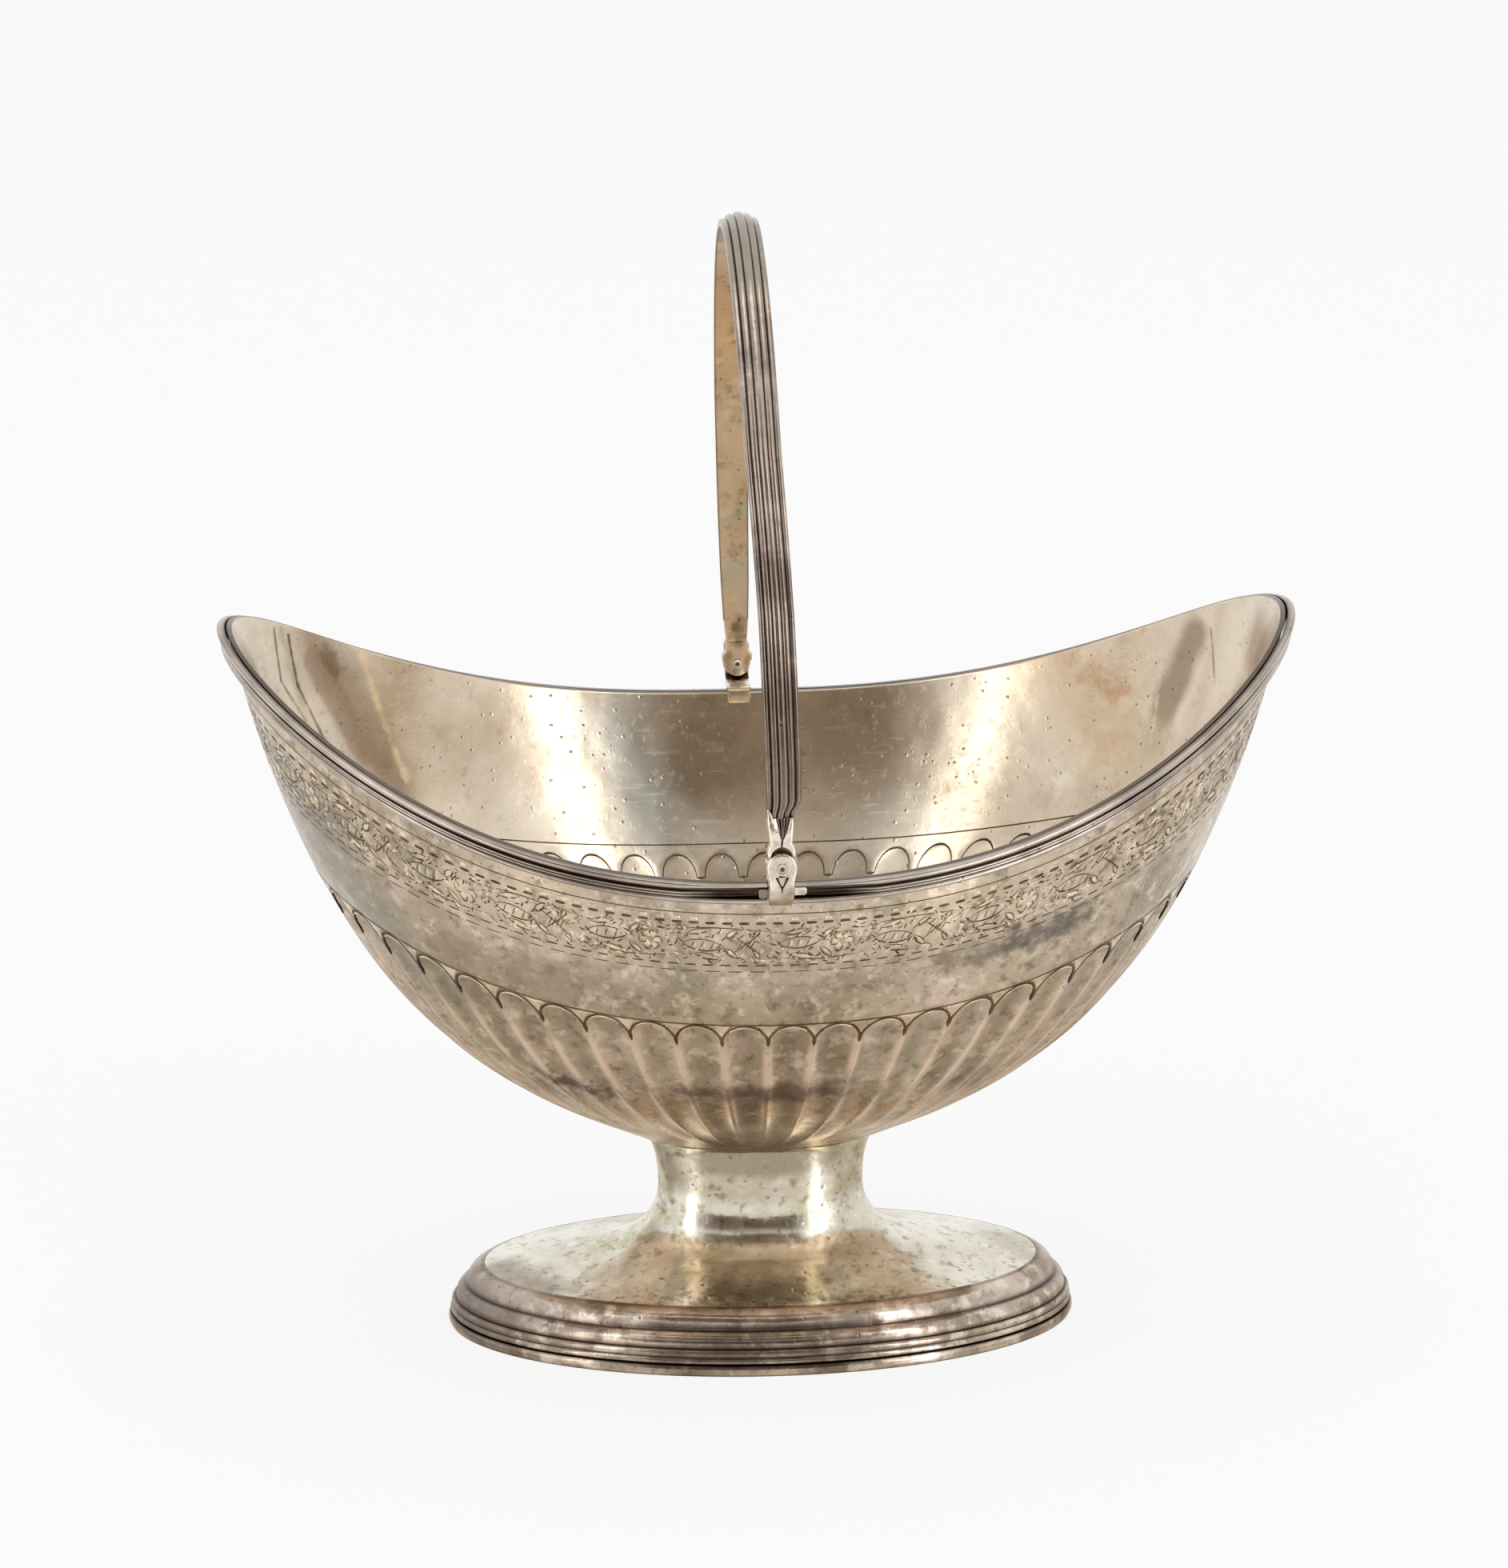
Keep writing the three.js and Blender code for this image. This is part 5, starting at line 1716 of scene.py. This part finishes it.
outer_section = pedestal_section()
section = (outer_section + inner_section(outer_section, PEDESTAL_WALL)[::-1])[::-1]
points, faces = join_rings(oval_rings(section), closed_rows=True)
pedestal = mesh_from("pedestal_raised", points, faces, smooth_below=40)
add_piece(pedestal.name, pedestal, "basket", "foot_silver", foot_silver, replaces=["pedestal"])

# %% Foot border
INSIDE_DARK = 0.6
RING_LAP = 1.2


def border_points(corners, steps=7, top_dark=1.0):
    """(margin, height, groove) points through corners of (margin share, height, bulge)."""
    made = []
    for (m0, z0, bulge), (m1, z1, _) in zip(corners[:-1], corners[1:]):
        run, rise = (m1 - m0) * WIRE_BREADTH, z1 - z0
        size = math.hypot(run, rise) or 1
        for i in range(steps):
            share = i / steps
            wave = math.sin(math.pi * share)
            margin = blend(m0, m1, share) * WIRE_BREADTH - wave * bulge * rise / size
            height = blend(z0, z1, share) + wave * bulge * run / size
            made.append((margin, height, 1 - min(1, 1.8 * wave)))
    made.append((corners[-1][0] * WIRE_BREADTH, corners[-1][1], top_dark))
    return made


def make_border(name, outline, inside, low, high):
    """A ring of the border: its outline, closed by a plain inside and flat ends."""
    section = outline + [(inside, high, INSIDE_DARK), (inside, low, INSIDE_DARK)]
    stations = [(FOOT_LENGTH / 2 - m, FOOT_WIDTH / 2 - m, z) for m, z, _ in section]
    points, faces = join_rings(oval_rings(stations), closed_rows=True)
    dark = np.repeat([d for _, _, d in section], OVAL_STEPS)
    return mesh_from(name, points, faces, {"groove": dark}, smooth_below=50)


reed_base = BASE_RING_HEIGHT
step_base = reed_base + REED_HEIGHT
ring_inside = WIRE_BREADTH + FIT_GAP + PEDESTAL_WALL + RING_LAP
base_corners = [(0.03, 0.0, 0.25), (0.03, BASE_RING_HEIGHT, 0)]
reed_corners = [
    (0.09, reed_base, 0.32),
    (0.10, reed_base + REED_HEIGHT * 0.5, 0.3),
    (0.16, reed_base + REED_HEIGHT, 0),
]
step_corners = [
    (0.2, step_base, 0.5),
    (0.47, step_base + STEP_HEIGHT * 0.44, 0.62),
    (1.0, step_base + STEP_HEIGHT, 0),
]
base_outline, reed_outline = border_points(base_corners), border_points(reed_corners)
step_outline = border_points(step_corners, steps=12, top_dark=0.35)
base_ring = make_border("foot_base_ring_drawn", base_outline, ring_inside, 0, reed_base)
reeds = make_border("foot_reeds_drawn", reed_outline, WIRE_BREADTH, reed_base, step_base)
steps = make_border("foot_steps_drawn", step_outline, WIRE_BREADTH, step_base, BORDER_HEIGHT)
for mesh, slot, node in (
    (base_ring, "foot_silver", "foot_base_ring"),
    (reeds, "wire_silver", "foot_reed_wire"),
    (steps, "wire_silver", "foot_step_wire"),
):
    add_piece(mesh.name, mesh, "basket", slot, border_silver, replaces=[node])

# %% [markdown]
# ## Hinges
# Each hinge is a rivet through two flat laps: the lug, which grips the rim outside and inside,
# and the handle's knuckle behind it. Boxes with bevels would look machined. A smith filed these
# by eye, so each is a loft: level outlines with rounded corners, one above the other, and a
# notch in the front face where a groove was cut. Outline by outline the shape stays easy to
# change.

# %% Filed solids
PIN_HEIGHT = 90.7
PIN_ABOVE_RIM = 3.7
LUG_OUTER = 5.4
LUG_INNER = 4.1
LAP_INNER = 2.5
LAP_OUTER = 3.8
TERMINAL_HEIGHT = 7.3
HANDLE_LEAN = 1.5
# Ranges of heights above the rim that hold no station, and every one.
NOWHERE = (9, 9)
EVERYWHERE = (-9, 9)


def filed_ring(half, low, high, radius, notch):
    """A level outline, (across, out): a block with rounded corners and a notched face.

    The notch is (half width, depth), with a third value where it is off the middle.
    """
    broad, deep = notch[:2]
    off = notch[2] if len(notch) > 2 else 0.0
    lip = radius * 0.01
    made = []
    corners = ((half, low, -90), (half, high, 0), (-half, high, 90), (-half, low, 180))
    for x, y, start in corners:
        centre_x = x - math.copysign(radius, x)
        centre_y = y + radius if y == low else y - radius
        for step in range(4):
            turn = math.radians(start + 30 * step)
            made.append((centre_x + radius * math.cos(turn), centre_y + radius * math.sin(turn)))
        if (x, y) == (half, high):
            for share, down in ((1, lip), (0.2, deep), (-0.2, deep), (-1, lip)):
                made.append((off + broad * share, high - down))
    return made


def leaned(points):
    """Turns upright points of the handle about the pins, to the left."""
    turn = math.radians(-HANDLE_LEAN)
    x, z = points[:, 0].copy(), points[:, 2] - PIN_HEIGHT
    points[:, 0] = x * math.cos(turn) + z * math.sin(turn)
    points[:, 2] = z * math.cos(turn) - x * math.sin(turn) + PIN_HEIGHT
    return points


def filed_solid(stations, shift=0.0, shaded=NOWHERE, shaded_inside=NOWHERE, shade=0.85):
    """A loft upwards through (height above the rim, half, low, high, radius, notch) stations.

    A seventh value moves a station across. The front face is darker where the height is in the
    shaded range, and the inner face in the shaded_inside range: painted shade in the hinge's gaps.
    """
    rings, dirt_and_shade_rows = [], []
    for height, half, low, high, radius, notch, *middle in stations:
        ring = filed_ring(half, low, high, radius, notch)
        shift = middle[0] if middle else shift
        rings.append([(x + shift, -WALL_WIDTH - out, RIM_SIDE + height) for x, out in ring])
        deep = 1.0 if notch[1] > 0.05 else 0.0
        front = shade if shaded[0] < height < shaded[1] else 0.0
        inside = 1.0 if shaded_inside[0] < height < shaded_inside[1] else 0.0
        face = [front] * 5 + [max(front, deep)] * 2 + [front] * 5
        dirt_and_shade_rows.append([inside] * 4 + face + [inside] * 4)
    points, faces = join_rings(np.array(rings), caps=True)
    faces = [face[::-1] for face in faces]
    return points, faces, np.append(np.array(dirt_and_shade_rows, float).ravel(), [0, 0])


def join_solids(name, solids, side, lean=False, smooth_below=40):
    """One mesh of several solids. The back hinge is the front one turned half round."""
    points, faces, dark = [], [], []
    for solid_points, solid_faces, solid_dark in solids:
        faces += [tuple(i + len(points) for i in face) for face in solid_faces]
        points += list(solid_points)
        dark += list(solid_dark)
    points = half_turned(points) if side == "back" else np.array(points, float)
    if lean:
        points = leaned(points)
    return mesh_from(name, points, faces, {"groove": dark}, smooth_below)


print("the pins lie", PIN_HEIGHT, "mm up")


# %% Lugs
TAB_BEVEL = 0.25
PLAIN = (0.0, 0.0)
# Stations: (height above the rim, half width, inner face, outer face, corner radius, notch).
# The faces are measured outwards from the wall.
LUG_PLATE = (
    (-3.15, 1.5, -0.45, 1.4, 0.3, PLAIN),
    (-3.0, 1.72, -0.45, 1.85, 0.35, PLAIN),
    (-2.5, 1.8, -0.3, 2.6, 0.35, PLAIN),
    (-1.2, LUG_HALF_WIDTH, 0.0, 3.85, 0.35, PLAIN),
    (0.0, LUG_HALF_WIDTH, 0.35, 4.8, 0.35, PLAIN),
    (0.9, LUG_HALF_WIDTH, 1.4, 5.25, 0.35, PLAIN),
    (1.6, 1.88, LUG_INNER, LUG_OUTER, 0.35, PLAIN),
    (2.4, 2.02, LUG_INNER, LUG_OUTER, 0.35, PLAIN),
    (3.1, 2.24, LUG_INNER, LUG_OUTER, 0.35, PLAIN),
    (3.8, 2.3, LUG_INNER, LUG_OUTER, 0.35, PLAIN),
    (4.4, 2.19, LUG_INNER, LUG_OUTER, 0.35, PLAIN),
    (4.8, 2.02, LUG_INNER, LUG_OUTER, 0.35, PLAIN),
    (5.2, 1.74, LUG_INNER, LUG_OUTER, 0.35, PLAIN),
    (5.5, 1.43, LUG_INNER, LUG_OUTER, 0.35, PLAIN),
    (5.75, 1.03, 4.12, 5.38, 0.3, PLAIN),
    (5.9, 0.6, 4.2, 5.3, 0.3, PLAIN),
)
SADDLE = (
    (FIT_GAP, 1.8, -1.85, 3.6, 0.3, PLAIN),
    (0.45, 1.9, -1.95, 3.9, 0.3, PLAIN),
    (1.05, 1.9, -1.9, 4.2, 0.3, PLAIN),
    (1.2, 1.75, -1.7, 4.2, 0.3, PLAIN),
)
INNER_LEG = (
    (-1.5, 1.5, -2.18, -1.62, 0.12, PLAIN),
    (-1.35, 1.8, -2.23, -1.55, 0.2, PLAIN),
    (0.0, 1.9, -1.92, -1.24, 0.25, PLAIN),
    (0.6, 1.9, -1.78, -1.1, 0.25, PLAIN),
)


def face_cut(start, end, broad):
    """A dark cut on the lug's face: a low three-sided bar that follows the face to a point."""
    start, end = np.array(start, float), np.array(end, float)
    along = (end - start) / np.linalg.norm(end - start)
    side = np.array([-along[1], along[0]]) * broad / 2
    heights, faces_out = [row[0] for row in LUG_PLATE], [row[3] for row in LUG_PLATE]
    rings = []
    for share in np.linspace(0, 1, 7):
        middle = blend(start, end, share)
        half = side * (1 - 0.6 * share)
        ring = []
        for (x, z), proud in ((middle + half, 0.01), (middle, 0.08), (middle - half, 0.01)):
            out = np.interp(z, heights, faces_out) + proud
            ring.append([x, -WALL_WIDTH - out, RIM_SIDE + z])
        rings.append(ring)
    points, faces = join_rings(np.array(rings), caps=True)
    return points, faces, [1.0] * len(points)


def tab(x, half, low, high, shade):
    """A small tab of the lug that fills the start of the slot in the rim wire."""
    heights = (low, low + TAB_BEVEL, (low + high) / 2, high - TAB_BEVEL, high)
    rows = []
    for height, share in zip(heights, (0.75, 1, 1, 1, 0.75)):
        inner, outer = 0.3 + FLARE * height, 1.3 + FLARE * height
        rows.append((height, half * share, inner, outer, 0.25, PLAIN))
    return filed_solid(rows, shift=x, shaded=EVERYWHERE, shade=shade)


def make_lug(side):
    """A lug: its plate, saddle, inner leg and tabs, and the cuts in its face."""
    # The plate's inner face carries painted shade between 0.5 and 2 mm above the rim, in the gap
    # behind the handle's lap.
    solids = [filed_solid(LUG_PLATE, shaded_inside=(0.5, 2.0))]
    solids += [filed_solid(SADDLE), filed_solid(INNER_LEG)]
    # The left tab carries painted shadow; the right one is only a little darker.
    solids += [tab(-2.5, 0.75, -2.2, -0.7, 0.75), tab(2.8, 1.15, -1.75, -0.5, 0.1)]
    solids += [face_cut((x, 2.4), (0.02 * x, 0.5), 0.42) for x in (-0.8, 0.8)]
    solids += [face_cut((0, 1.0), (0, -0.3), 0.34), face_cut((-0.45, 2.5), (0.45, 2.5), 0.3)]
    lug = join_solids(f"lug_{side}_filed", solids, side)
    lug.materials.append(hinge_silver)
    lug.materials.append(inside_silver)
    for polygon in lug.polygons:
        place = polygon.center / MM
        if abs(place.y) < WALL_WIDTH - 1.0 and place.z < RIM_SIDE + FIT_GAP:
            polygon.material_index = 1
    return lug


for side in ("front", "back"):
    lug = make_lug(side)
    add_piece(lug.name, lug, "basket", "hinge_silver", replaces=[f"hinge_lug_{side}"])


# %% Rivets
HEAD_LIFT = 0.08
RIVET_STEPS = 28
# (radius, height over the face, dirt), from the set centre to the edge and under it.
RIVET_PROFILE = (
    (0.0, 0.22, 0.9),
    (0.24, 0.24, 0.9),
    (0.36, 0.34, 0.3),
    (0.5, 0.34, 0.0),
    (0.68, 0.2, 0.0),
    (0.78, 0.06, 0.5),
    (0.78, 0.0, 1.0),
    (0.5, 0.0, 1.0),
)


def make_rivet(name, side):
    """A rivet: a head outside with a set centre, the shank, and a head inside."""
    outer = [(r, LUG_OUTER + HEAD_LIFT + h, d) for r, h, d in RIVET_PROFILE]
    inner = [(r, LAP_INNER - HEAD_LIFT - h, d) for r, h, d in RIVET_PROFILE]
    rings, dark = [], []
    for radius, out, groove in inner[1:] + outer[::-1][:-1]:
        turn = np.linspace(0, 2 * math.pi, RIVET_STEPS, endpoint=False)
        across, rise = radius * np.cos(turn), radius * np.sin(turn) + PIN_HEIGHT
        rings.append(np.stack([across, np.full_like(turn, -WALL_WIDTH - out), rise], -1))
        dark += [groove] * len(turn)
    points, faces = join_rings(np.array(rings), caps=True)
    return join_solids(name, [(points, faces, dark + [0.9, 0.9])], side, smooth_below=35)


for side in ("front", "back"):
    rivet = make_rivet(f"rivet_{side}_set", side)
    replaced = [f"hinge_pin_{side}"]
    add_piece(rivet.name, rivet, "basket", "hinge_silver", hinge_silver, replaces=replaced)


# %% Terminals
# Heights here are from the pin.
KNUCKLE_RADIUS = 2.02
KNUCKLE_HEIGHTS = (-1.98, -1.9, -1.65, -1.25, -0.7, -0.2, 0.35)
# (height, half width) of the collar and the neck.
COLLAR = (
    (0.5, 2.3),
    (0.6, 2.42),
    (1.55, 2.42),
    (1.75, 2.2),
    (2.2, 1.95),
    (3.0, 1.75),
    (3.6, 1.68),
)
# (height, outer edge, inner edge) of a horn.
HORN = (
    (1.8, 1.95, 1.75),
    (1.95, 2.08, 1.6),
    (2.6, 2.08, 1.25),
    (3.0, 2.0, 0.75),
    (3.3, 1.9, 0.3),
    (3.6, 1.7, 0.3),
)
# Stations of the block and its cheek, as for the lugs.
TERMINAL_BLOCK = (
    (3.15, 1.5, 2.8, 5.1, 0.25, (0.1, 0.1)),
    (3.3, 1.62, 2.75, 5.35, 0.3, (0.12, 0.35)),
    (4.3, 1.72, LAP_INNER, LUG_OUTER, 0.35, (0.16, 0.4, 0.12)),
    (5.0, 1.8, LAP_INNER, LUG_OUTER, 0.38, (0.4, 0.5, 0.22)),
    (5.6, 1.86, LAP_INNER, 5.38, 0.38, (0.65, 0.6, 0.3)),
    (6.4, 1.94, LAP_INNER, 5.2, 0.38, (1.0, 0.75, 0.35)),
    (7.3, 2.0, LAP_INNER, 4.95, 0.4, (1.2, 0.8, 0.37)),
    (7.52, 1.98, LAP_INNER, 4.9, 0.4, (1.2, 0.8, 0.37)),
)
CHEEK = (
    (6.6, 0.4, 3.4, 5.12, 0.25, PLAIN, -1.42),
    (7.6, 0.42, 3.4, 4.95, 0.25, PLAIN, -1.48),
    (8.3, 0.3, 3.4, 4.7, 0.2, PLAIN, -1.6),
    (8.8, 0.1, 3.4, 4.3, 0.08, PLAIN, -1.75),
)
# (height, half width, middle, outer face) of each tongue.
TONGUES = (
    (
        (4.2, 0.08, 0.1, 5.3),
        (5.3, 0.26, 0.25, 5.38),
        (6.5, 0.36, 0.33, 5.16),
        (7.6, 0.42, 0.38, 4.9),
    ),
    ((5.3, 0.1, -0.1, 5.3), (6.5, 0.24, -0.35, 5.1), (7.6, 0.34, -0.5, 4.8)),
    (
        (4.6, 0.1, 0.5, 5.35),
        (5.6, 0.26, 0.8, 5.3),
        (6.5, 0.34, 1.02, 5.12),
        (7.6, 0.42, 1.25, 4.85),
    ),
)


def from_pin(rows):
    """Stations above the rim of rows whose heights are from the pin."""
    return [(PIN_ABOVE_RIM + height, *rest) for height, *rest in rows]


def lap_rows():
    """The inner lap: a round knuckle, a collar and a neck."""
    rows = []
    for height in KNUCKLE_HEIGHTS:
        half = math.sqrt(max(KNUCKLE_RADIUS**2 - height**2, 0.2))
        rows.append((height, half, LAP_INNER, LAP_OUTER, 0.2, PLAIN))
    for height, half in COLLAR:
        rows.append((height, half, LAP_INNER, LAP_OUTER, 0.3, PLAIN))
    return from_pin(rows)


def horn(side):
    """The end of a cheek of the terminal, which reaches down beside the lug's head."""
    rows = []
    for height, outer, inner in HORN:
        middle, half = (outer + inner) / 2 * side, (outer - inner) / 2
        radius = min(0.3, half * 0.8)
        rows.append((height, half, LAP_OUTER - 0.2, LUG_OUTER, radius, PLAIN, middle))
    return filed_solid(from_pin(rows))


def tongue(rows):
    """A reed of the strap that runs out on the terminal and ends in a point."""
    stations = []
    for height, half, middle, high in rows:
        stations.append((height, half, 4.0, high, min(0.3, half * 0.85), PLAIN, middle))
    return filed_solid(from_pin(stations), shaded=(-9, PIN_ABOVE_RIM + 6.6), shade=0.7)


def make_terminal(side):
    """A hinge end: the lap behind, the block in front, its cheek and horns, and the tongues."""
    # Painted shadow on the lap's front, in the gap between the lug's head and the block.
    lap_shadow_heights = (PIN_ABOVE_RIM + 1.2, PIN_ABOVE_RIM + 3.5)
    solids = [filed_solid(lap_rows(), shaded=lap_shadow_heights)]
    solids += [filed_solid(from_pin(TERMINAL_BLOCK)), filed_solid(from_pin(CHEEK))]
    solids += [horn(1), horn(-1)]
    first_tongue_face = sum(len(faces) for _, faces, _ in solids)
    solids += [tongue(rows) for rows in TONGUES]
    terminal = join_solids(f"terminal_{side}_filed", solids, side, lean=True)
    for material in (hinge_silver, strap_silver, handle_silver):
        terminal.materials.append(material)
    inner_face = (WALL_WIDTH + LAP_INNER + 0.4) * MM
    for polygon in terminal.polygons:
        if abs(polygon.center.y) < inner_face:
            polygon.material_index = 1
        elif polygon.index >= first_tongue_face:
            polygon.material_index = 2
    return terminal


for side in ("front", "back"):
    terminal = make_terminal(side)
    replaced = [f"handle_terminal_{side}"]
    add_piece(terminal.name, terminal, "handle", "hinge_silver", replaces=replaced)

# %% [markdown]
# ## Handle
# The handle is a strip with five reeds outside and a flat face inside, bent to half an oval.
# It narrows a little towards the hinges. It leans a degree and a half to the left, as in the
# photograph, so it is made upright between the pins and then turned about them.

# %% Handle
ARCH_DEPTH = 55.35
ARCH_RISE = 83.8
HANDLE_THICKNESS = 2.2
# Each leg: (height above the pins, width, bow to the right).
BACK_LEG = ((7.3, 4.0, 0), (14, 4.5, 0), (26, 4.9, 0), (48, 5.3, 0), (84, 5.6, 0))
FRONT_LEG = (
    (7.3, 4.0, 0.0),
    (8.2, 4.15, 0.12),
    (9.4, 5.1, 0.64),
    (14, 5.25, 0.74),
    (26, 5.25, 0.74),
    (36, 5.27, 0.7),
    (48, 5.3, 0.4),
    (58, 5.37, 0.1),
    (84, 5.6, 0),
)
HANDLE_STATIONS = 300
STRIP_GAP = 0.12
FLAT_EDGE = 0.35
SIDE_DEPTH = 1.45
VALLEY_DEPTH = 0.24
REED_DEPTH = 0.42
REED_EDGES = (-0.5, -0.32, -0.12, 0.12, 0.32, 0.5)
REED_DROPS = (0.92, 0.32, 0.0, 0.32, 0.92)
REED_FACETS = 8


def handle_section(width):
    """(across, out, groove): a flat inside and five reeds outside."""
    crown = HANDLE_THICKNESS / 2
    made = [(-width / 2, -crown, 0.8), (-width / 2, crown - SIDE_DEPTH, 0.5)]
    edges = np.array(REED_EDGES) * width
    for number, (start, end, low) in enumerate(zip(edges[:-1], edges[1:], REED_DROPS)):
        if number:
            valley = max(low, REED_DROPS[number - 1])
            made.append((start, crown - valley - VALLEY_DEPTH, 1.0))
        for i in range(1, REED_FACETS):
            turn = math.pi * i / REED_FACETS
            rise = math.sin(turn)
            across = blend(start, end, (1 - math.cos(turn)) / 2)
            out = crown - low - REED_DEPTH * (1 - rise**0.8)
            made.append((across, out, 1 - min(1, rise * 1.6)))
    made.append((width / 2, crown - SIDE_DEPTH, 0.5))
    made.append((width / 2, -crown, 0.8))
    made.append((width / 2 - FLAT_EDGE, -crown, 0.0))
    made.append((-width / 2 + FLAT_EDGE, -crown, 0.0))
    return made


def make_handle():
    """The strip from one hinge end over to the other, and the number of sides of its section."""
    start = math.asin((TERMINAL_HEIGHT + STRIP_GAP) / ARCH_RISE)
    rings, dirt_and_shade_rows = [], []
    for angle in np.linspace(start, math.pi - start, HANDLE_STATIONS):
        centre = np.array([0, -ARCH_DEPTH * math.cos(angle), ARCH_RISE * math.sin(angle)])
        outward = np.array([0, -ARCH_RISE * math.cos(angle), ARCH_DEPTH * math.sin(angle)])
        outward /= np.linalg.norm(outward)
        heights, widths, bows = zip(*(FRONT_LEG if centre[1] < 0 else BACK_LEG))
        width = np.interp(centre[2], heights, widths)
        centre[0] += np.interp(centre[2], heights, bows)
        section = handle_section(width)
        rings.append([centre + outward * o + np.array([a, 0, 0]) for a, o, _ in section])
        dirt_and_shade_rows.append([g for _, _, g in section])
    points, faces = join_rings(np.array(rings), caps=True)
    points = leaned(np.array(points) + [0, 0, PIN_HEIGHT])
    groove = np.append(np.array(dirt_and_shade_rows).ravel(), [0, 0])
    mesh = mesh_from("handle_strip", points, faces, {"groove": groove}, smooth_below=45)
    return mesh, len(rings[0])


handle_mesh, ring_size = make_handle()
handle_mesh.materials.append(handle_silver)
handle_mesh.materials.append(strap_silver)
# The last three sides of the section are the flat inside.
flat_columns = ring_size - 3
for polygon in handle_mesh.polygons:
    if polygon.index % ring_size >= flat_columns:
        polygon.material_index = 1
add_piece("handle_strip", handle_mesh, "handle", "handle_silver", replaces=["handle_arch"])
